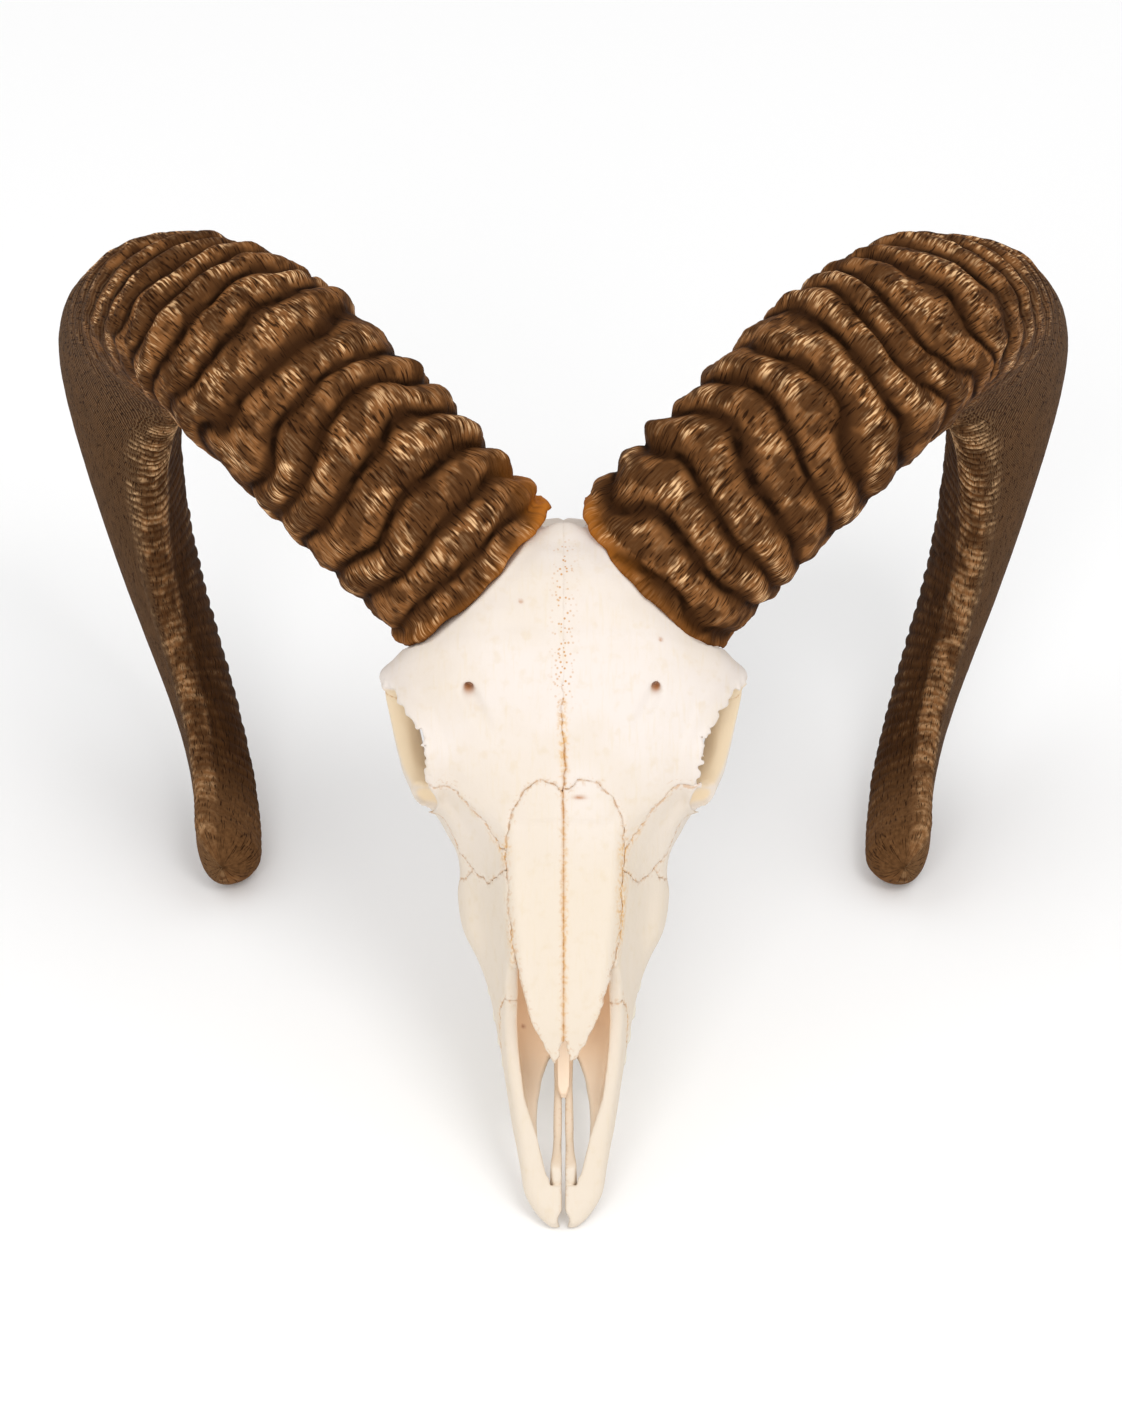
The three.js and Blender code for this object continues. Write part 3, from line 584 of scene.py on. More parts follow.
def helix_point(share):
    turn = HORN["start"] + HORN["sweep"] * share
    radius, _, _, shift_x, shift_y = row_at(HORN_SHAPE, share)
    along = HORN["along"] * (share + HORN["along_curve"] * share * (1 - share))
    return (
        HORN_FRONT * radius * math.cos(turn)
        + HORN_UP * radius * math.sin(turn)
        + HORN_AXIS * along
        + np.array([shift_x, shift_y, 0])
    )


def horn_station(share):
    """Middle of the horn, its direction, the way to the keel, and the way across."""
    step = 0.002
    base = np.array(HORN["base"]) * [-1, 1, 1]
    middle = helix_point(share) - helix_point(0) + base
    ahead = helix_point(share + step) - helix_point(share - step)
    ahead /= np.linalg.norm(ahead)
    turn = HORN["start"] + HORN["sweep"] * share
    inward = -HORN_FRONT * math.cos(turn) - HORN_UP * math.sin(turn)
    inward -= ahead * inward.dot(ahead)
    inward /= np.linalg.norm(inward)
    still, once, twice = HORN_TWIST
    twist = math.radians(still + once * share + twice * share * share)
    inward = inward * math.cos(twist) + np.cross(ahead, inward) * math.sin(twist)
    return middle, ahead, inward, np.cross(ahead, inward)


def horn_length():
    path = np.array([helix_point(share) for share in np.linspace(0, 1, 61)])
    return np.linalg.norm(np.diff(path, axis=0), axis=1).sum()


HORN_LENGTH = horn_length()


def horn_ring(share, swell, margin=0.0, back=0.0):
    """Ring of the right horn, swollen by an amount that grows towards its front."""
    middle, ahead, inward, broad = horn_station(share)
    _, half_width, half_depth, _, _ = row_at(HORN_SHAPE, share)
    left = (1 - share) * HORN_LENGTH / HORN["tip_rounding"]
    tip = math.sqrt(max(1 - (1 - left) ** 2, 0.0)) if left < 1 else 1.0
    turn = np.linspace(0, 2 * math.pi, BASE_AROUND, endpoint=False)
    extra = swell * (0.62 - 0.38 * np.cos(turn)) + margin
    depth = (half_depth + extra) * tip * np.cos(turn)
    width = (half_width + extra) * tip * np.sin(turn) * (1 - HORN["keel"] * np.cos(turn))
    return middle + inward * depth[:, None] + broad * width[:, None] - ahead * back


def onto_left(ring):
    """A ring of the right horn mirrored onto the side with x above zero."""
    return np.asarray(ring) * [-1, 1, 1]


def horn_socket():
    """Room that the horn's base takes from the bone round it."""
    rings = [
        onto_left(horn_ring(share, 2.5, OPEN_GAP, OPEN_GAP if share == 0 else 0))
        for share in (0, 0.03, 0.06, 0.1, 0.14)
    ]
    return lofted(rings, in_face=True)


def pedicle():
    """Bony core that carries the horn."""
    middle, ahead, _, broad = horn_station(0)
    rings = []
    for depth, deep_share, wide_share in PEDICLE:
        away = horn_ring(0, 0) - middle
        across = away @ broad
        ring = away * deep_share + middle + np.outer(across * (wide_share - deep_share), broad)
        rings.append(onto_left(ring - ahead * depth))
    return np.maximum(lofted(rings, in_face=True), -X)


# Skull as one solid

def steps(table, spacing):
    first, last = table[0][0], table[-1][0]
    return np.linspace(first, last, int((last - first) / spacing) + 1)


def nose_cavity():
    """Inside of the nose, whose side walls are thick at its front end."""
    rings = []
    for place in np.arange(NOSE_CAVITY["front"], NOSE_CAVITY["back"] + 1, 2.5):
        side_wall = np.interp(place, *np.array(NOSE_SIDE_WALL).T)
        rings.append(face_ring(place, NOSE_WALL, side_wall))
    return lofted(rings)


def skull_base(field):
    """Field with the bulla, ear hole, condyle, processes and nuchal crest joined to it."""
    field = joined(field, ball((20, 202, 37), (7.5, 11, 10)), 2)
    field = joined(field, bar([[22, 200, 50], [31, 200, 54], [38, 201, 57]], 3, 4.5), 2)
    field = joined(field, bar([[25, 217, 54], [25, 217, 38], [22.5, 214, 22]], 2.6, 5), 3)
    field = joined(field, ball((12.5, 231, 50), (9, 9.5, 13)), 2)
    field = joined(field, ball((7, 210, 42), (5, 8, 5)), 3)
    field = joined(field, ball((31, 216, 58), (6, 7, 15)), 3)
    plate = np.maximum(outline_distance(PLACE, HEIGHT, PTERYGOID), abs(X - 14.2) - PTERYGOID_HALF)
    field = joined(field, plate, 3)
    crest = bar([[-34, 215, 64], [-29, 221, 78], [-12, 223.5, 86], [0, 224.5, 87.5],
                 [12, 223.5, 86], [29, 221, 78], [34, 215, 64]], 3.5, 3.2)
    return joined(field, crest, 4)


def whole_skull():
    """Half of the skull, before its nose is opened and its details are cut."""
    field = joined(
        lofted([face_ring(place) for place in steps(FACE, 2.5)]),
        lofted([roof_ring(place) for place in steps(ROOF, 2.5)]), 2)
    field = joined(field, lofted([braincase_ring(place) for place in steps(BRAINCASE, 4)]), 4)
    field = cut(field, ORBIT_FIELD, 2)
    field = joined(field, bar(ORBIT_RIM, 4.4, 3.6, loop=True), 3)
    field = joined(field, bar(ZYGOMATIC_ARCH, 3, 5.2), 3)
    field = joined(field, ball(**FACIAL_TUBER), 5)
    field = joined(field, ball(**CREST_BOSS), 3)
    field = joined(field, pedicle(), 6)
    field = skull_base(field)
    choanae = outline_distance(PLACE, HEIGHT, CHOANAE["outline"])
    field = cut(field, np.maximum(choanae, X - CHOANAE["half"]), 2)
    field = cut(field, ball((0, 233, 57), (9, 16, 10)), 2)
    return softened(field)


ORBIT_FIELD = ball(ORBIT["centre"], ORBIT["radii"])
NOSE_FIELD = nose_cavity()
SOCKET_FIELD = horn_socket()
PEDICLE_FIELD = pedicle()
BASE_SKULL = whole_skull()


def serrated(side, seed, size):
    """Side-view coordinates, shaken so that outlines drawn in them are jagged like sutures."""
    shape = PLACE.shape
    shift_place = noise(shape, 3.2, seed) + 0.6 * noise(shape, 1.7, seed + 1)
    shift_height = noise(shape, 3.2, seed + 2) + 0.6 * noise(shape, 1.7, seed + 3)
    return PLACE + size * shift_place, HEIGHT + size * shift_height


def nasal_region(label, seed):
    shape = (SHAPE[0], SHAPE[1], 1)
    shift_x = 0.5 * noise(shape, 3.0, seed)
    shift_y = 0.6 * noise(shape, 3.0, seed + 1)
    region = outline_distance(X + shift_x, Y + shift_y, NASAL[label])
    roofs = [row_at(FACE, place)[0] for place in range(0, 142)]
    roof = np.interp(PLACE, np.arange(0, 142), roofs).astype(np.float32)
    return np.maximum(region, roof - NASAL_DEPTH - HEIGHT)


def orbit_opening(across, up):
    return outline_distance(across, up, ORBIT_OPENING)


def opened_skull(nasal, label):
    """Skull of one side with its nose, palate, orbit and horn socket open."""
    opening = outline_distance(PLACE, HEIGHT, NOSE_OPENING)
    beside = np.maximum(outline_distance(PLACE, HEIGHT, BESIDE_NASALS), -nasal)
    fissure = outline_distance(X, PLACE, PALATINE_FISSURE)
    gap = np.maximum(abs(X) - PREMAXILLA_GAP["half"], PLACE - PREMAXILLA_GAP["back"])
    gap = np.maximum(gap, HEIGHT - PREMAXILLA_GAP["top"])
    field = cut(BASE_SKULL, NOSE_FIELD, 2)
    field = cut(field, opening, 1.8)
    field = cut(field, beside, 0.6)
    field = cut(field, np.maximum(fissure, HEIGHT - 24), 1.4)
    field = cut(field, gap, 0.9)
    field = cut(field, tube((0, -232, 12), (0, -229, -30), 1.5, 1.9), 2.5)
    field = np.maximum(field, -SOCKET_FIELD)
    ragged = ORBIT_RAGGED * step_between(Y, -92, -84)
    across = X + ragged * noise((SHAPE[0], SHAPE[1], 1), 2.0, 930 + SIDES[label])
    up = Y + 0.8 * ragged * noise((SHAPE[0], SHAPE[1], 1), 2.0, 940 + SIDES[label])
    rim = orbit_opening(across, up)
    orbit = np.maximum(rim, ORBIT_OPENING_BACK + 0.5 * np.minimum(rim, 0) - Z)
    field = cut(field, orbit, 0.5)
    return details_cut(field, label)


def surface_height(field, x, y):
    """How far out of the face the bone reaches at one point of it."""
    i = int(round((x - GRID_LOW[0]) / CELL))
    j = int(round((y - GRID_LOW[1]) / CELL))
    return AXES[2][np.nonzero(field[i, j] < 0)[0].max()]


def tube(start, end, wide, narrow):
    """Distance to a tapered tube with round ends."""
    start, end = np.array(start), np.array(end)
    way = end - start
    share = (X - start[0]) * way[0] + (Y - start[1]) * way[1] + (Z - start[2]) * way[2]
    share = np.clip(share / way.dot(way), 0, 1)
    away = (X - start[0] - share * way[0]) ** 2
    away = away + (Y - start[1] - share * way[1]) ** 2 + (Z - start[2] - share * way[2]) ** 2
    return np.sqrt(away) - (wide + (narrow - wide) * share)


def details_cut(field, label):
    """Foramen and groove over the eye, ragged upper rim of the orbit, and a rough surface."""
    x, y = FORAMEN[label]
    out = surface_height(field, x, y)
    field = cut(field, tube((x, y - 0.6, out + 1), (x - 0.4, y + 1.6, out - 2.6), 2.0, 1.2), 0.8)
    low = surface_height(field, x - 5.5, y - 12)
    field = cut(field, tube((x, y - 1, out + 1.6), (x - 5.5, y - 12, low + 3.4), 2.6, 3.4), 1.5)
    ragged = near(ORBIT_FIELD, 2.2) * step_between(HEIGHT, 86, 94) * step_between(-PLACE, -164, -156)
    spikes = noise(tuple(SHAPE), 2.2, 900 + SIDES[label]) + 0.8 * noise(tuple(SHAPE), 4.5, 910)
    return field + ragged * (1.1 * spikes + 0.3) + 0.12 * noise(tuple(SHAPE), 7, 920)


def bone_regions(label, seed):
    """Region of each bone of one side, in the order in which they are taken out."""
    nasal = nasal_region(label, seed)
    place, height = serrated(label, seed + 10, 0.7)
    palatine_bar = outline_distance(PLACE, HEIGHT, PALATINE_BAR["outline"])
    palatine_bar = np.maximum(palatine_bar, X - PALATINE_BAR["half"])
    return {
        "nasal": nasal,
        "premaxilla": np.minimum(outline_distance(place, height, PREMAXILLA), palatine_bar),
        "frontal": np.minimum(outline_distance(place, height, FRONTAL), PEDICLE_FIELD - 1),
        "lacrimal": np.maximum(outline_distance(place, height, LACRIMAL), LACRIMAL_INNER - X),
        "zygomatic": np.maximum(outline_distance(place, height, ZYGOMATIC), ZYGOMATIC_INNER - X),
        "maxilla": outline_distance(place, height, MAXILLA) + 0 * X,
    }


# Meshes

def sample(field, points):
    """Field at points of the face frame, between the corners of their cells."""
    at = (points - GRID_LOW) / CELL
    low = np.clip(np.floor(at).astype(int), 0, np.array(field.shape) - 2)
    u = np.clip(at - low, 0, 1)
    total = 0
    for corner in np.ndindex(2, 2, 2):
        weight = np.prod(np.where(corner, u, 1 - u), 1)
        total = total + weight * field[tuple((low + corner).T)]
    return total


def largest_body(points, quads):
    """Only the largest connected part of a surface."""
    label = np.arange(len(points))
    ends = np.concatenate([quads[:, [k, (k + 1) % 4]] for k in range(4)])
    while True:
        low = np.minimum(label[ends[:, 0]], label[ends[:, 1]])
        new = label.copy()
        np.minimum.at(new, ends[:, 0], low)
        np.minimum.at(new, ends[:, 1], low)
        new = new[new]
        if (new == label).all():
            break
        label = new
    kept = label == np.bincount(label).argmax()
    index = np.cumsum(kept) - 1
    return points[kept], index[quads[kept[quads[:, 0]]]]


def surface_of(field):
    """Smooth quads on the zero level of a field, in the face frame."""
    held = np.clip(field / CELL, -3, 3).astype(np.float32)
    grid = openvdb.FloatGrid(3.0)
    grid.copyFromArray(held)
    points, _, quads = grid.convertToPolygons(isovalue=0.0, adaptivity=0.0)
    points, quads = largest_body(points.astype(float), quads.astype(int))
    return points * CELL + GRID_LOW, quads


def mesh_object(name, points, faces, material, attributes=None):
    """Object with a mesh of quads or triangles, its faces turned outwards."""
    sides = faces.shape[1]
    corner = points[faces]
    volume = 0.0
    for k in range(1, sides - 1):
        normal = np.cross(corner[:, k], corner[:, k + 1])
        volume += (corner[:, 0] * normal).sum()
    if volume < 0:
        faces = faces[:, ::-1]
    mesh = bpy.data.meshes.new(name)
    mesh.vertices.add(len(points))
    mesh.vertices.foreach_set("co", points.astype(np.float32).ravel())
    mesh.loops.add(faces.size)
    mesh.loops.foreach_set("vertex_index", faces.astype(np.int32).ravel())
    mesh.polygons.add(len(faces))
    mesh.polygons.foreach_set("loop_start", np.arange(0, faces.size, sides, dtype=np.int32))
    mesh.polygons.foreach_set("use_smooth", np.ones(len(faces), bool))
    mesh.update(calc_edges=True)
    for key, values in (attributes or {}).items():
        values = np.asarray(values, np.float32)
        if values.ndim == 2:
            mesh.attributes.new(key, "FLOAT_VECTOR", "POINT").data.foreach_set("vector", values.ravel())
        else:
            mesh.attributes.new(key, "FLOAT", "POINT").data.foreach_set("value", values)
    if material:
        mesh.materials.append(material)
    piece = bpy.data.objects.new(name, mesh)
    bpy.context.scene.collection.objects.link(piece)
    return piece


def evaluated_mesh(piece):
    """Plain mesh of an object with its modifiers."""
    depsgraph = bpy.context.evaluated_depsgraph_get()
    return bpy.data.meshes.new_from_object(piece.evaluated_get(depsgraph), depsgraph=depsgraph)


def thinned(piece, share):
    """The piece with that share of its triangles, the flat places thinned first."""
    modifier = piece.modifiers.new("Thinned", "DECIMATE")
    modifier.ratio = share
    mesh = evaluated_mesh(piece)
    piece.modifiers.clear()
    mesh.name = piece.name
    piece.data = mesh
    return piece


def on_frame(piece, node):
    """The piece stands for its CAD node."""
    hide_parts(node)
    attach(piece, "root")
    return piece


def bone_attributes(points, seam, midline, side):
    """What the bone's material reads: its sutures and stains, hollows, pores and pits.

    The seam and the midline are distances, and the points are those of the side with x above
    zero, before they are mirrored.
    """
    x = points[:, 0] * side
    up = points[:, 1]
    stain = np.zeros(len(points))
    for across, level, half_width, half_height, strength in STAINS:
        away = np.hypot((x - across) / half_width, (up - level) / half_height)
        stain = np.maximum(stain, strength * near(away, 1.0))
    pit = np.zeros(len(points))
    for across, level, long in PITS:
        pit = np.maximum(pit, near(np.hypot((x - across) / long, up - level), 0.6))
    nose = step_between(-sample(NOSE_FIELD, points), -1.2, 0.4)
    side_x, side_y = FORAMEN["left" if side > 0 else "right"]
    hole = near(np.hypot(points[:, 0] - side_x, up - side_y - 0.6), 2.4)
    pit = np.maximum(pit, hole * step_between(-sample(BASE_SKULL, points), 0.5, 2.2))
    orbit = step_between(-sample(ORBIT_FIELD, points), -1.5, 2.0)
    in_opening = step_between(-orbit_opening(points[:, 0], up), -2.5, -0.5)
    orbit = np.maximum(orbit, in_opening * step_between(-sample(BASE_SKULL, points), 0.6, 2.6))
    return {
        "seam": np.clip(seam, 0, 6),
        "middle": near(midline, 0.6) * step_between(-up, 66, 76),
        "stain": stain,
        "pit": pit,
        "orbit": orbit,
        # inside of the nose, fuller deeper in, where the material paints light and a glow
        "nose": nose * (0.25 + 0.75 * step_between(up, -197, -160)),
        "porous": near(x, 3.2) * step_between(up, -68, -52) * step_between(-up, 2, 12),
        "cream": step_between(-up, 60, 140),
    }


def bone_pieces(label, bone):
    """The paired bones of one side, and what is left of the skull without them."""
    side = SIDES[label]
    seed = 100 if side > 0 else 200
    regions = bone_regions(label, seed)
    skull = opened_skull(regions["nasal"], label)
    wave = MIDLINE_WAVE * noise((1, SHAPE[1], 1), 3.2, 77)
    wave = wave * step_between(-Y, 30, 60) * step_between(Y, -96, -84)
    closed = step_between(Y, *MIDLINE_SHUT)
    midline = -MIDLINE_CLOSING - 0.3 * closed - X + side * wave + 0 * skull
    taken = []
    for name, region in regions.items():
        field = np.maximum(skull, region - SUTURE_CLOSING)
        field = np.maximum(field, midline)
        for other in taken:
            field = np.maximum(field, -SUTURE_CLOSING - other)
        points, quads = surface_of(field)
        to_middle = -sample(midline - 6 * closed, points)
        seam = np.minimum(-sample(region, points), to_middle)
        for other in taken:
            seam = np.minimum(seam, sample(other, points))
        attributes = bone_attributes(points, seam, to_middle, side)
        points[:, 0] *= side
        node = f"{name}_{label}"
        on_frame(mesh_object(node + "_bone", to_row(points), quads, bone, attributes), node)
        taken.append(region + 0 * X)
    for other in taken:
        skull = np.maximum(skull, -SUTURE_CLOSING - other)
    return skull


def cranium_piece(halves, bone):
    """The rest of both sides as one piece, joined across the midline."""
    centre = int(round(-GRID_LOW[0] / CELL))
    left = halves["left"][centre:]
    right = halves["right"][centre + 1:][::-1]
    field = np.concatenate([right, left])
    low = GRID_LOW.copy()
    low[0] = -CELL * len(right) + GRID_LOW[0] + CELL * centre
    points, quads = surface_of(field)
    points += low - GRID_LOW
    on_left = np.stack([abs(points[:, 0]), points[:, 1], points[:, 2]], -1)
    far = np.full(len(points), 6.0)
    attributes = bone_attributes(on_left, far, far, 1)
    piece = mesh_object("cranium_bone", to_row(points), quads, bone, attributes)
    on_frame(thinned(piece, CRANIUM_KEPT), "cranium")


def septum_piece(bone):
    """Thin plate of the septum, standing on the palate."""
    outline = np.array(SEPTUM)
    count = len(outline)
    thicker = SEPTUM_HALF["behind"] - SEPTUM_HALF["front"]
    points = []
    for way in (-1, 1):
        for place, height in [*outline, outline.mean(0)]:
            half = SEPTUM_HALF["front"] + thicker * step_between(place, 42, 46)
            points.append([way * half, place, height])
    j = np.arange(count)
    k = (j + 1) % count
    centre = np.full(count, count)
    shift = count + 1
    faces = np.concatenate([
        np.stack([j, k, centre], -1),
        np.stack([k + shift, j + shift, centre + shift], -1),
        np.stack([k, j, j + shift], -1),
        np.stack([k, j + shift, k + shift], -1)])
    points = to_row(to_face(np.array(points)))
    # the septum gets a share of the nose's painted light and glow
    attributes = {"nose": np.full(len(points), 0.6), "seam": np.full(len(points), 6.0)}
    piece = mesh_object("septum_bone", points, faces, bone, attributes)
    piece.data.polygons.foreach_set("use_smooth", np.zeros(len(faces), bool))
    on_frame(piece, "vomer")


# Node trees

MATHS = "ShaderNodeMath"
MULTIPLY = {"operation": "MULTIPLY"}
MULTIPLY_ADD = {"operation": "MULTIPLY_ADD"}
RAMP = "ShaderNodeMapRange"
SMOOTH = {"interpolation_type": "SMOOTHSTEP"}
UNCLAMPED = {"clamp": False}
MIX = "ShaderNodeMix"
COLOURS = {"data_type": "RGBA"}
NOISE = "ShaderNodeTexNoise"
SEEDED = {"noise_dimensions": "4D"}


def add(tree, kind, settings, *values, **named):
    """A node with its settings and inputs, and what comes out of it.

    The values fill the node's open inputs in their order, or by name, each with a number or a link.
    """
    node = tree.nodes.new(kind)
    for key, value in settings.items():
        setattr(node, key, value)
    openings = [socket for socket in node.inputs if socket.enabled]
    pairs = list(zip(openings, values))
    for key, value in named.items():
        name = key.replace("_", " ")
        pairs.append((next(socket for socket in openings if socket.name == name), value))
    for socket, value in pairs:
        if isinstance(value, bpy.types.NodeSocket):
            tree.links.new(value, socket)
        else:
            socket.default_value = value
    return next((socket for socket in node.outputs if socket.enabled), None)


def new_nodes(name, inputs):
    """A tree of geometry nodes that turns a mesh into a mesh, and its inputs by name."""
    tree = bpy.data.node_groups.new(name, "GeometryNodeTree")
    tree.interface.new_socket("Mesh", in_out="INPUT", socket_type="NodeSocketGeometry")
    tree.interface.new_socket("Mesh", in_out="OUTPUT", socket_type="NodeSocketGeometry")
    for key, kind in inputs.items():
        tree.interface.new_socket(key, in_out="INPUT", socket_type=kind)
    given = tree.nodes.new("NodeGroupInput")
    return tree, {socket.name: socket for socket in given.outputs if socket.name}


def end_nodes(tree, mesh, material):
    """The end of a tree: its instances made real, with their material."""
    real = add(tree, "GeometryNodeRealizeInstances", {}, mesh)
    shown = add(tree, "GeometryNodeSetMaterial", {}, real, Material=material)
    add(tree, "NodeGroupOutput", {}, shown)


def worked_out(name, start, tree, inputs):
    """Plain object that a tree makes of a start object, with the tree's inputs set."""
    modifier = start.modifiers.new(tree.name, "NODES")
    modifier.node_group = tree
    for item in tree.interface.items_tree:
        if item.in_out == "INPUT" and item.name in inputs:
            modifier[item.identifier] = inputs[item.name]
    mesh = evaluated_mesh(start)
    mesh.name = name
    bpy.data.objects.remove(start)
    piece = bpy.data.objects.new(name, mesh)
    bpy.context.scene.collection.objects.link(piece)
    return piece


# Cheek teeth

def tooth_form():
    """One cheek tooth a millimetre long and wide, with ribs outside and worn crescents below."""
    rings = []
    turn = np.linspace(0, 2 * math.pi, 40, endpoint=False)
    rib = 1 + 0.07 * np.cos(turn * 5)
    along = np.sign(np.sin(turn)) * abs(np.sin(turn)) ** 0.8
    for height, size in TOOTH_PROFILE:
        crown = 0.3 * np.cos(2 * turn) * (height < 2.5)
        rings.append(np.stack([
            0.5 * size * rib * np.cos(turn), 0.5 * size * along, height - crown], -1))
    rings = np.array(rings)
    points = np.concatenate([rings.reshape(-1, 3), [rings[0].mean(0), rings[-1].mean(0)]])
    return mesh_object("tooth form", points, ring_faces(len(rings), 40, False), None)


def tooth_tree():
    """Geometry nodes that set a tooth on each point of a row, at the point's own size."""
    tree, given = new_nodes("Tooth row", {"Tooth": "NodeSocketObject", "Finish": "NodeSocketMaterial"})
    size = add(tree, "GeometryNodeInputNamedAttribute", {"data_type": "FLOAT_VECTOR"}, "size")
    tooth = add(tree, "GeometryNodeObjectInfo", {}, given["Tooth"]).node.outputs["Geometry"]
    teeth = add(tree, "GeometryNodeInstanceOnPoints", {}, given["Mesh"], Instance=tooth, Scale=size)
    end_nodes(tree, teeth, given["Finish"])
    return tree


def teeth_piece(label, tree, form, enamel):
    """The row of cheek teeth of one side, which its maxilla carries."""
    side = SIDES[label]
    total = sum(length for length, _ in TEETH)
    place = TOOTH_ROW["start"]
    points, sizes = [], []
    for length, width in TEETH:
        middle = place + length / 2
        place += length
        share = (middle - TOOTH_ROW["start"]) / total
        outer = TOOTH_ROW["outer_start"] * (1 - share) + TOOTH_ROW["outer_end"] * share
        points.append([side * (outer - width / 2), middle, 0.0])
        sizes.append([width, length + TOOTH_ROW["overlap"], 1.0])
    row = mesh_object("tooth row", np.array(points), np.zeros((0, 3), int), None, {"size": sizes})
    piece = worked_out(f"teeth_{label}", row, tree, {"Tooth": form, "Finish": enamel})
    placed = Matrix.Translation(SHIFT * MM) @ Matrix.Rotation(PITCH, 4, "X") @ Matrix.Scale(MM, 4)
    piece.data.transform(placed)
    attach(piece, "root")


# Horns

def horn_frames(shares):
    """Middle, direction, way to the keel, way across and half sizes at each share."""
    stations = [(*horn_station(share), row_at(HORN_SHAPE, share)[1:3]) for share in shares]
    return [np.array(values)[:, None] for values in zip(*stations)]


def ridge_count(along):
    """How many ridges there are between the horn's base and each place."""
    places = np.arange(-90, HORN_LENGTH + 60, 0.5)
    pitch = np.interp(places, *np.array(RIDGE_PITCH).T)
    return np.interp(along, places, np.cumsum(0.5 / pitch))


def periodic_noise(rows, columns, row_period, column_lumps, seed):
    """Smooth noise on a horn's surface that meets itself round the horn."""
    values = np.random.default_rng(seed).uniform(-1, 1, (int(rows / row_period) + 3, column_lumps))
    at = np.arange(rows) / row_period
    low = at.astype(int)
    u = eased(at - low)[:, None]
    values = values[low] * (1 - u) + values[low + 1] * u
    at = np.arange(columns) / columns * column_lumps
    low = at.astype(int)
    u = eased(at - low)
    return values[:, low] * (1 - u) + values[:, (low + 1) % column_lumps] * u


def smooth_horn(label):
    """Rings of one horn before its ridges, and what its ridges and its material read.

    The turn round the horn is 0 on its keel and half a turn on its front. Below half a turn it
    is on the outer face.
    """
    seed = 300 if SIDES[label] > 0 else 400
    shares = np.linspace(0, 1, int(HORN_LENGTH / HORN_STEP))
    middle, ahead, inward, broad, half = horn_frames(shares)
    turn = np.linspace(0, 2 * math.pi, HORN_AROUND, endpoint=False)[None, :]
    along = shares[:, None] * HORN_LENGTH + 0 * turn
    front = 0.5 - 0.5 * np.cos(turn)
    to_keel = np.minimum(turn, 2 * math.pi - turn)
    keel = step_between(-to_keel, -0.82, -0.52) * step_between(along, 168, 205)
    outer = step_between(np.sin(turn), 0.1, 0.6) * step_between(along, 110, 200)
    slant = np.where(turn < math.pi, np.clip((2.3 - turn) / 1.9, 0, 1), 0)
    slanted = along - RIDGE_SLANT * slant * step_between(along, 60, 250)
    medial = step_between(-np.sin(turn), -0.3, 0.9)

    height = np.interp(along, *np.array(RIDGE_HEIGHT).T)
    relief = height * (0.24 + 0.76 * front ** 0.8 + 0.35 * near(turn - 4.5, 0.6)) * (1 - 0.85 * outer)
    relief = relief * (1 - 0.4 * step_between(np.sin(turn), 0.2, 1))
    lip = near(along - 0.6, 1.6) - 0.9 * near(along - LIP - 1.2, 1.4)
    fringe = 1.6 * periodic_noise(len(shares), HORN_AROUND, 700, 13, seed)
    fringe = fringe + 0.6 * periodic_noise(len(shares), HORN_AROUND, 700, 41, seed + 1)
    fringe = fringe * (1 - step_between(along, 0, 16))
    left = np.clip((HORN_LENGTH - along) / HORN["tip_rounding"], 0, 1)
    tip = np.sqrt(np.clip(1 - (1 - left) ** 2, 0, 1))
    band = 0.9 * keel
    depth = (half[..., 1] + 0.9 * lip + band) * tip * np.cos(turn)
    width = (half[..., 0] + 0.9 * lip + band) * tip * np.sin(turn) * (1 - HORN["keel"] * np.cos(turn))
    points = middle + inward * depth[..., None] + broad * width[..., None] - ahead * fringe[..., None]
    points[..., 0] *= -SIDES[label]

    ragged = 1 + 0.4 * periodic_noise(len(shares), HORN_AROUND, 700, 11, seed + 2)
    amber = near(along, LIP * ragged) * (0.25 + 0.75 * medial)
    glow = np.clip(periodic_noise(len(shares), HORN_AROUND, 700, 9, seed + 3) + 0.15, 0, 1)
    return points, {
        "lie": np.stack([along, half[..., 1] * np.cos(turn), half[..., 0] * np.sin(turn)], -1) * MM,
        "along": along,
        "growth": ridge_count(slanted),
        "slanted": slanted * MM,
        "relief": relief * tip,
        "loose": (1 - 0.8 * step_between(along, 130, 215)) * (1 - 0.7 * outer) * tip,
        "keel": keel * tip,
        "ribbed": 1 - 0.75 * step_between(along, 235, 300),
        "outer": outer,
        # inner face of the horn's far part, which the material paints darker, as shade, and with fewer
        # painted highlights
        "inner": step_between(-np.sin(turn), 0.1, 0.5) * step_between(along, 150, 220) * (1 - keel),
        "amber": amber + 0.8 * glow * near(along, 14) * medial,
        "tip": step_between(along, HORN_LENGTH - 60, HORN_LENGTH - 12),
    }


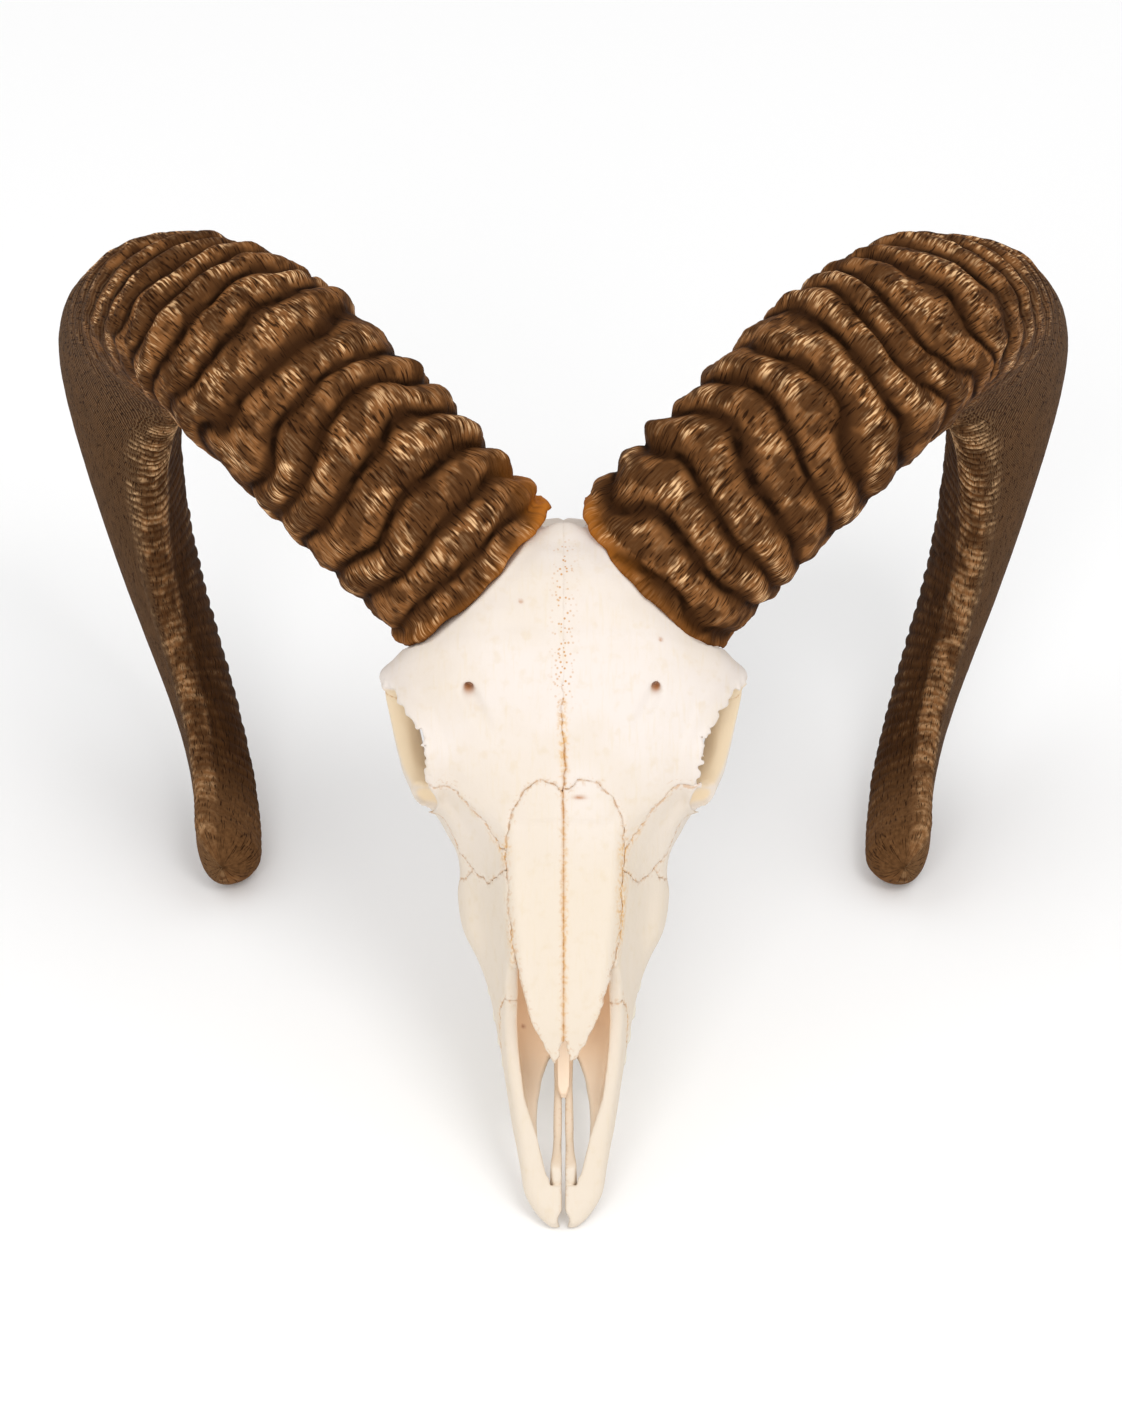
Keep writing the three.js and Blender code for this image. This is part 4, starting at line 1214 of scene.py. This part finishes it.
def ridge_tree():
    """Geometry nodes that raise a horn's growth ridges from its smooth skin."""
    inputs = {key: "NodeSocketFloat" for key in RELIEF}
    tree, given = new_nodes("Horn ridges", {
        **inputs, "Seed": "NodeSocketFloat", "Finish": "NodeSocketMaterial"})
    marks = {
        name: add(tree, "GeometryNodeInputNamedAttribute", {"data_type": "FLOAT"}, name)
        for name in ("along", "growth", "relief", "loose", "keel", "ribbed")}
    lie = add(tree, "GeometryNodeInputNamedAttribute", {"data_type": "FLOAT_VECTOR"}, "lie")
    seed = given["Seed"]
    lumps = {
        size: add(tree, NOISE, SEEDED, lie, seed, 1 / (size * MM), 1.0)
        for size in (46, 15)}
    fold_scale = add(tree, MATHS, {"operation": "DIVIDE"}, 1 / MM, given["Fold size"])
    folds = add(tree, NOISE, SEEDED, lie, seed, fold_scale, 2.0)

    # ridges wander, so that they split and merge
    wide = add(tree, RAMP, UNCLAMPED, lumps[46], 0.25, 0.75, -1.0, 1.0)
    small = add(tree, RAMP, UNCLAMPED, lumps[15], 0.25, 0.75, -0.16, 0.16)
    wander = add(tree, MATHS, {"operation": "ADD"}, wide, small)
    wander = add(tree, MATHS, MULTIPLY, wander, given["Ridge wander"])
    phase = add(tree, MATHS, MULTIPLY_ADD, wander, marks["loose"], marks["growth"])
    cosine = add(tree, MATHS, MULTIPLY, phase, 2 * math.pi)
    cosine = add(tree, MATHS, {"operation": "COSINE"}, cosine)
    swing = add(tree, MATHS, MULTIPLY_ADD, cosine, -0.5, 0.5)
    crest = add(tree, MATHS, {"operation": "POWER"}, swing, 0.5)

    # each ridge has its own height, and rises and sinks on its way round
    number = add(tree, MATHS, {"operation": "FLOOR"}, phase)
    number = add(tree, MATHS, {"operation": "ADD"}, number, seed)
    chance = add(tree, "ShaderNodeTexWhiteNoise", {"noise_dimensions": "1D"}, number)
    gain = add(tree, RAMP, {}, chance, 0.0, 1.0, 0.75, 1.15)
    along_it = add(tree, RAMP, {}, lumps[15], 0.3, 0.7, 0.66, 1.25)
    gain = add(tree, MATHS, MULTIPLY, gain, along_it)
    rise = add(tree, MATHS, MULTIPLY_ADD, crest, gain, -0.66)
    rise = add(tree, MATHS, MULTIPLY, rise, marks["relief"])

    # folds and knobs lie over the ridges
    fold = add(tree, RAMP, UNCLAMPED, folds, 0.3, 0.7, -1.0, 1.0)
    fold = add(tree, MATHS, MULTIPLY, fold, given["Fold height"])
    fold = add(tree, MATHS, MULTIPLY, fold, marks["loose"])
    rise = add(tree, MATHS, {"operation": "ADD"}, rise, fold)
    off_keel = add(tree, MATHS, {"operation": "SUBTRACT"}, 1.0, marks["keel"])
    rise = add(tree, MATHS, MULTIPLY, rise, off_keel)

    # close ribs cross the keel
    ribs = add(tree, MATHS, {"operation": "DIVIDE"}, marks["along"], given["Rib pitch"])
    ribs = add(tree, MATHS, MULTIPLY_ADD, wide, 1.1, ribs)
    ribs = add(tree, MATHS, MULTIPLY_ADD, folds, 1.4, ribs)
    ribs = add(tree, MATHS, MULTIPLY, ribs, math.pi)
    ribs = add(tree, MATHS, {"operation": "SINE"}, ribs)
    ribs = add(tree, MATHS, {"operation": "ABSOLUTE"}, ribs)
    ribs = add(tree, MATHS, {"operation": "SUBTRACT"}, ribs, 0.55)
    ribs = add(tree, MATHS, MULTIPLY, ribs, marks["ribbed"])
    rib_rise = add(tree, MATHS, MULTIPLY, ribs, given["Rib height"])
    rib_rise = add(tree, MATHS, MULTIPLY, rib_rise, marks["keel"])
    rise = add(tree, MATHS, {"operation": "ADD"}, rise, rib_rise)

    # millimetres along the normal of the skin
    rise = add(tree, MATHS, MULTIPLY, rise, MM)
    normal = add(tree, "GeometryNodeInputNormal", {})
    offset = add(tree, "ShaderNodeVectorMath", {"operation": "SCALE"}, normal, Scale=rise)
    raised = add(tree, "GeometryNodeSetPosition", {}, given["Mesh"], Offset=offset)
    # crest mark for the material, flattened where the ridges are low, so that its painted groove shade is
    # weaker there
    contrast = add(tree, RAMP, {}, marks["relief"], 0.0, 1.6, 0.15, 1.0)
    shown_crest = add(tree, MATHS, {"operation": "SUBTRACT"}, crest, 0.5)
    shown_crest = add(tree, MATHS, MULTIPLY_ADD, shown_crest, contrast, 0.5)
    for name, value in (("crest", shown_crest), ("rib", ribs)):
        raised = add(
            tree, "GeometryNodeStoreNamedAttribute", {"data_type": "FLOAT"}, raised, Name=name, Value=value)
    end_nodes(tree, raised, given["Finish"])
    return tree


def horn_piece(label, tree, keratin):
    points, marks = smooth_horn(label)
    rings, around = points.shape[:2]
    flat = np.concatenate([points.reshape(-1, 3), [points[0].mean(0), points[-1].mean(0)]])
    attributes = {}
    for name, values in marks.items():
        values = np.broadcast_to(values, (rings, around, *values.shape[2:]))
        ends = values[[0, -1]].mean(1)
        attributes[name] = np.concatenate([values.reshape(-1, *values.shape[2:]), ends])
    faces = ring_faces(rings, around, False)
    skin = mesh_object(f"skin_{label}", to_row(flat), faces, keratin, attributes)
    inputs = {**RELIEF, "Seed": 3.0 + SIDES[label], "Finish": keratin}
    piece = worked_out(f"horn_{label}_keratin", skin, tree, inputs)
    on_frame(piece, f"horn_{label}")


# Materials

def ramped(tree, strength, *ramps):
    """A strength times ramps, each with its mark, the mark's low and high value, and what the
    ramp is at them.
    """
    for ramp in ramps:
        strength = add(tree, MATHS, MULTIPLY, strength, add(tree, RAMP, SMOOTH, *ramp))
    return strength


def layered(tree, colour, *layers):
    """A colour under others, each with its ramp and its hex value."""
    for *ramp, hex_colour in layers:
        share = add(tree, RAMP, SMOOTH, *ramp)
        colour = add(tree, MIX, COLOURS, share, colour, linear(hex_colour))
    return colour


def linear(hex_colour):
    """Linear colour of an sRGB hex value."""
    values = [int(hex_colour[k:k + 2], 16) / 255 for k in (1, 3, 5)]
    values = [v / 12.92 if v <= 0.04045 else ((v + 0.055) / 1.055) ** 2.4 for v in values]
    return (*values, 1.0)


def new_material(name):
    """A material with one principled shader, and the node tree that feeds it."""
    material = bpy.data.materials.new(name)
    material.use_nodes = True
    tree = material.node_tree
    tree.nodes.clear()
    surface = add(tree, "ShaderNodeBsdfPrincipled", {})
    add(tree, "ShaderNodeOutputMaterial", {}, surface)
    return material, tree, surface.node


def bleached_bone():
    """Boiled and bleached bone: matt and creamy, and tan inside its orbits.

    Fine streaks run up the face, pores dot the closed part of the frontal suture, and the open sutures hold
    ochre dirt in short, broken marks. The inside of the nose is painted warm and bright, with a faint
    painted glow, in place of the light that its thin walls let through.
    """
    material, tree, shader = new_material("Boiled and bleached bone")
    where = add(tree, "ShaderNodeTexCoord", {}).node.outputs["Object"]
    face = add(
        tree, "ShaderNodeMapping", {"vector_type": "TEXTURE"}, where,
        Rotation=(PITCH + FACE_TILT, 0, 0), Scale=(1.1 * MM, 9 * MM, 9 * MM))
    streak = add(tree, NOISE, {}, face, 1.0, 2.0)
    broad = add(tree, NOISE, {}, where, 1 / (32 * MM), 2.0)
    fine = add(tree, NOISE, {}, where, 1 / (4 * MM), 2.0)
    speckle = add(tree, NOISE, {}, where, 1 / (1.3 * MM), 1.0)
    marks = {}
    for name in ("seam", "middle", "stain", "pit", "orbit", "nose", "porous", "cream"):
        marks[name] = add(tree, "ShaderNodeAttribute", {"attribute_name": name}).node.outputs["Fac"]

    colour = layered(
        tree, linear("#DCD2CA"),
        (broad, 0.35, 0.65, 0.0, 1.0, "#D8CCBF"),
        (marks["cream"], 0.0, 1.0, 0.0, 0.85, "#D8CAB7"),
        (streak, 0.5, 0.8, 0.0, 0.35, "#D6C6AC"),
        (fine, 0.52, 0.8, 0.0, 0.3, "#CFBB9A"),
        (marks["orbit"], 0.0, 1.0, 0.0, 0.9, "#E4CDA9"))
    # painted light: the inside of the nose is painted brighter and warmer than the bone, against its shade
    colour = add(tree, MIX, COLOURS, marks["nose"], colour, linear("#FBE3C4"))

    # thin line along each suture, and broken marks to both sides of it
    line = ramped(tree, 1.0, (marks["seam"], 0.1, 0.75, 1.0, 0.0), (speckle, 0.42, 0.6, 0.15, 1.0))
    beside = ramped(tree, 1.0, (marks["seam"], 0.5, 2.4, 1.0, 0.0), (speckle, 0.56, 0.66, 0.0, 0.55))
    suture = add(tree, MATHS, {"operation": "MAXIMUM"}, line, beside)
    strength = add(tree, RAMP, {}, marks["stain"], 0.0, 1.0, 0.5, 1.0)
    suture = add(tree, MATHS, MULTIPLY, suture, strength)
    colour = add(tree, MIX, COLOURS, suture, colour, linear("#BB8440"))
    stained = ramped(
        tree, marks["stain"], (speckle, 0.4, 0.62, 0.1, 0.6), (marks["seam"], 1.0, 3.5, 1.0, 0.0))
    colour = add(tree, MIX, COLOURS, stained, colour, linear("#D9AE6C"))
    between_nasals = ramped(tree, marks["middle"], (fine, 0.35, 0.6, 0.85, 0.45))
    colour = add(tree, MIX, COLOURS, between_nasals, colour, linear("#B9823F"))

    # pores about 0.6 mm wide, and a few deeper pits
    pore = add(tree, "ShaderNodeTexVoronoi", {}, where, 1 / (1.5 * MM)).node.outputs["Distance"]
    pore = ramped(tree, marks["porous"], (pore, 0.18, 0.34, 0.95, 0.0))
    colour = add(tree, MIX, COLOURS, pore, colour, linear("#C08A4C"))
    colour = add(tree, MIX, COLOURS, marks["pit"], colour, linear("#AD7446"))

    # painted glow inside the nose: an emission in place of the light that soaks through its thin walls
    painted_nose_glow = add(tree, MIX, COLOURS, marks["nose"], linear("#000000"), linear("#FFE6CC"))

    grain = add(tree, NOISE, {}, where, 1 / (0.9 * MM), 2.0)
    height = add(tree, MATHS, MULTIPLY_ADD, grain, 0.45, fine)
    height = add(tree, MATHS, MULTIPLY_ADD, streak, 0.5, height)
    normal = add(tree, "ShaderNodeBump", {}, 0.3, 0.3 * MM, Height=height)
    tree.links.new(colour, shader.inputs["Base Color"])
    tree.links.new(painted_nose_glow, shader.inputs["Emission Color"])
    tree.links.new(normal, shader.inputs["Normal"])
    shader.inputs["Emission Strength"].default_value = 0.11
    shader.inputs["Roughness"].default_value = 0.55
    shader.inputs["IOR"].default_value = 1.5
    return material


def tooth_enamel():
    """Worn tooth enamel: off-white with a soft gloss, stained brown in patches by feed."""
    material, tree, shader = new_material("Worn tooth enamel")
    where = add(tree, "ShaderNodeTexCoord", {}).node.outputs["Object"]
    stain = add(tree, NOISE, {}, where, 1 / (4 * MM), 4.0)
    colour = layered(tree, linear("#E3D9C2"), (stain, 0.48, 0.8, 0.0, 1.0, "#BBA277"))
    normal = add(tree, "ShaderNodeBump", {}, 0.25, 0.3 * MM, Height=stain)
    tree.links.new(colour, shader.inputs["Base Color"])
    tree.links.new(normal, shader.inputs["Normal"])
    shader.inputs["Roughness"].default_value = 0.32
    shader.inputs["IOR"].default_value = 1.62
    return material


def horn_keratin():
    """Keratin horn sheath, grown in ridges: near black in its grooves, partly its own dark tone and partly
    painted shade, and worn on its ridges to tan fibres that run along the horn, which also serve as painted
    highlights. Its inner face is painted darker, as shade. Its thin new edge at the base is amber.
    """
    material, tree, shader = new_material("Grown and worn horn keratin")
    where = add(tree, "ShaderNodeTexCoord", {}).node.outputs["Object"]
    lie = add(tree, "ShaderNodeAttribute", {"attribute_name": "lie"}).node.outputs["Vector"]
    marks = {}
    for name in ("crest", "rib", "keel", "outer", "inner", "slanted", "amber", "tip"):
        marks[name] = add(tree, "ShaderNodeAttribute", {"attribute_name": name}).node.outputs["Fac"]

    # fibres 4 mm long and 0.6 mm wide, and strands about three times that size
    fibre = {"vector_type": "TEXTURE"}
    hair = add(tree, "ShaderNodeMapping", fibre, lie, Scale=(4 * MM, 0.6 * MM, 0.6 * MM))
    hair = add(tree, NOISE, {}, hair, 1.0, 1.0, 0.6)
    strand = add(tree, "ShaderNodeMapping", fibre, lie, Scale=(11 * MM, 1.6 * MM, 1.6 * MM))
    strand = add(tree, NOISE, {}, strand, 1.0, 2.0, 0.6)
    patch = add(tree, NOISE, {}, where, 1 / (9 * MM), 2.0)
    drift = add(tree, NOISE, {}, where, 1 / (22 * MM), 1.0)
    speck = add(tree, NOISE, {}, where, 1 / (1.5 * MM), 2.0)

    # lines 1.9 mm apart on the outer face
    line = add(tree, MATHS, MULTIPLY, marks["slanted"], 2 * math.pi / (FINE_LINE_PITCH * MM))
    line = add(tree, MATHS, MULTIPLY_ADD, patch, 14.0, line)
    line = add(tree, MATHS, {"operation": "SINE"}, line)
    line = ramped(tree, marks["outer"], (line, -0.4, 1.0, 0.0, 1.0))

    # near black in the grooves, by the crest mark: partly the horn's own tone, partly painted shade
    colour = layered(
        tree, linear("#1A0D05"),
        (marks["crest"], 0.08, 0.7, 0.0, 1.0, "#80542F"),
        (patch, 0.4, 0.58, 0.0, 0.75, "#3C2412"),
        (marks["outer"], 0.0, 1.0, 0.0, 0.9, "#3E2615"),
        # painted shade: the inner face of the horn's far part is darker
        (marks["inner"], 0.0, 1.0, 0.0, 0.85, "#38220F"),
        (strand, 0.45, 0.7, 0.0, 0.6, "#311B0C"))
    share = add(tree, MATHS, MULTIPLY, marks["tip"], speck)
    colour = add(tree, MIX, COLOURS, share, colour, linear("#7A5636"))

    # worn fibres lie in patches on the crests, and serve as painted highlights there
    wear_and_highlight = add(tree, RAMP, {}, marks["inner"], 0.0, 1.0, 1.0, 0.3)
    wear_and_highlight = ramped(
        tree, wear_and_highlight,
        (hair, 0.5, 0.66, 0.0, 1.0),
        (patch, 0.58, 0.42, 0.1, 1.0),
        (drift, 0.6, 0.42, 0.15, 1.0),
        (marks["crest"], 0.5, 0.98, 0.0, 1.0))
    tan_line = add(tree, MATHS, MULTIPLY, line, 0.15)
    wear_and_highlight = add(tree, MATHS, {"operation": "MAXIMUM"}, wear_and_highlight, tan_line)
    # the keel's ribs are painted tan: partly wear, partly a painted highlight
    keel_rib_wear_and_highlight = ramped(
        tree, marks["keel"],
        (marks["rib"], -0.2, 0.42, 0.0, 0.75),
        (speck, 0.4, 0.62, 0.3, 1.0),
        (patch, 0.6, 0.4, 0.15, 1.0))
    wear_and_highlight = add(tree, MATHS, {"operation": "MAXIMUM"}, wear_and_highlight, keel_rib_wear_and_highlight)
    colour = add(tree, MIX, COLOURS, wear_and_highlight, colour, linear("#E2B888"))
    colour = layered(tree, colour, (hair, 0.43, 0.32, 0.0, 0.85, "#1F1007"))
    amber = ramped(tree, marks["amber"], (strand, 0.25, 0.7, 0.55, 1.0))
    colour = add(tree, MIX, COLOURS, amber, colour, linear("#B06A26"))

    height = add(tree, MATHS, MULTIPLY_ADD, hair, 0.6, strand)
    height = add(tree, MATHS, MULTIPLY_ADD, speck, 0.4, height)
    height = add(tree, MATHS, MULTIPLY_ADD, line, 0.6, height)
    normal = add(tree, "ShaderNodeBump", {}, 0.55, 0.6 * MM, Height=height)
    tree.links.new(colour, shader.inputs["Base Color"])
    tree.links.new(normal, shader.inputs["Normal"])
    shader.inputs["Roughness"].default_value = 0.6
    shader.inputs["IOR"].default_value = 1.54
    shader.inputs["Specular IOR Level"].default_value = 0.01
    return material


def pale_floor():
    """Matt white paint, rolled on: even and without gloss."""
    material, tree, shader = new_material("Rolled matt white paint")
    where = add(tree, "ShaderNodeTexCoord", {}).node.outputs["Object"]
    nap = add(tree, NOISE, {}, where, 1 / (5 * MM), 2.0)
    normal = add(tree, "ShaderNodeBump", {}, 0.05, 0.2 * MM, Height=nap)
    tree.links.new(normal, shader.inputs["Normal"])
    shader.inputs["Base Color"].default_value = linear("#FBFBFB")
    shader.inputs["Roughness"].default_value = 0.9
    return material


# Studio

def floor():
    half = FLOOR_HALF
    points = np.array([[-half, -half, 0], [half, -half, 0], [half, half, 0], [-half, half, 0]])
    piece = mesh_object("floor", points, np.array([[0, 1, 2, 3]]), pale_floor())


def area_light(name, place, target, size, power):
    light = bpy.data.lights.new(name, "AREA")
    light.energy = power
    light.size = size
    holder = bpy.data.objects.new(name, light)
    way = Vector(place) - Vector(target)
    holder.matrix_world = Matrix.Translation(place) @ way.to_track_quat("Z", "Y").to_matrix().to_4x4()
    bpy.context.scene.collection.objects.link(holder)


def studio():
    """Pale floor in even light, with two soft lamps in front of the face."""
    bpy.context.scene.view_settings.view_transform = "Standard"
    floor()
    world = bpy.data.worlds.new("studio")
    bpy.context.scene.world = world
    world.use_nodes = True
    background = world.node_tree.nodes["Background"]
    background.inputs["Color"].default_value = linear("#FFFFFF")
    background.inputs["Strength"].default_value = SKY
    for name, place, power in LIGHTS:
        area_light(name, place, LIGHT_TARGET, LIGHT_SIZE, power)


def photo_camera():
    """Camera that looks straight onto the face, at the photograph's distance and framing."""
    data = bpy.data.cameras.new("camera")
    data.sensor_fit = "VERTICAL"
    data.sensor_height = SENSOR_HEIGHT
    data.lens = data.sensor_height * CAMERA_DISTANCE / (MM_PER_PIXEL * IMAGE_HEIGHT)
    data.clip_start = 0.05
    holder = bpy.data.objects.new("camera", data)
    place = to_row(np.array([[CAMERA_AIM_ACROSS, CAMERA_AIM_UP, CAMERA_DISTANCE]]))[0]
    holder.matrix_world = (
        Matrix.Translation(place) @ Matrix.Rotation(PITCH + FACE_TILT, 4, "X"))
    bpy.context.scene.collection.objects.link(holder)
    bpy.context.scene.camera = holder


# Scene

bone = bleached_bone()
halves = {label: bone_pieces(label, bone) for label in SIDES}
cranium_piece(halves, bone)
septum_piece(bone)
enamel = tooth_enamel()
keratin = horn_keratin()
tooth = tooth_form()
row_nodes = tooth_tree()
ridge_nodes = ridge_tree()
for label in SIDES:
    teeth_piece(label, row_nodes, tooth, enamel)
    horn_piece(label, ridge_nodes, keratin)
bpy.data.objects.remove(tooth)
studio()
photo_camera()
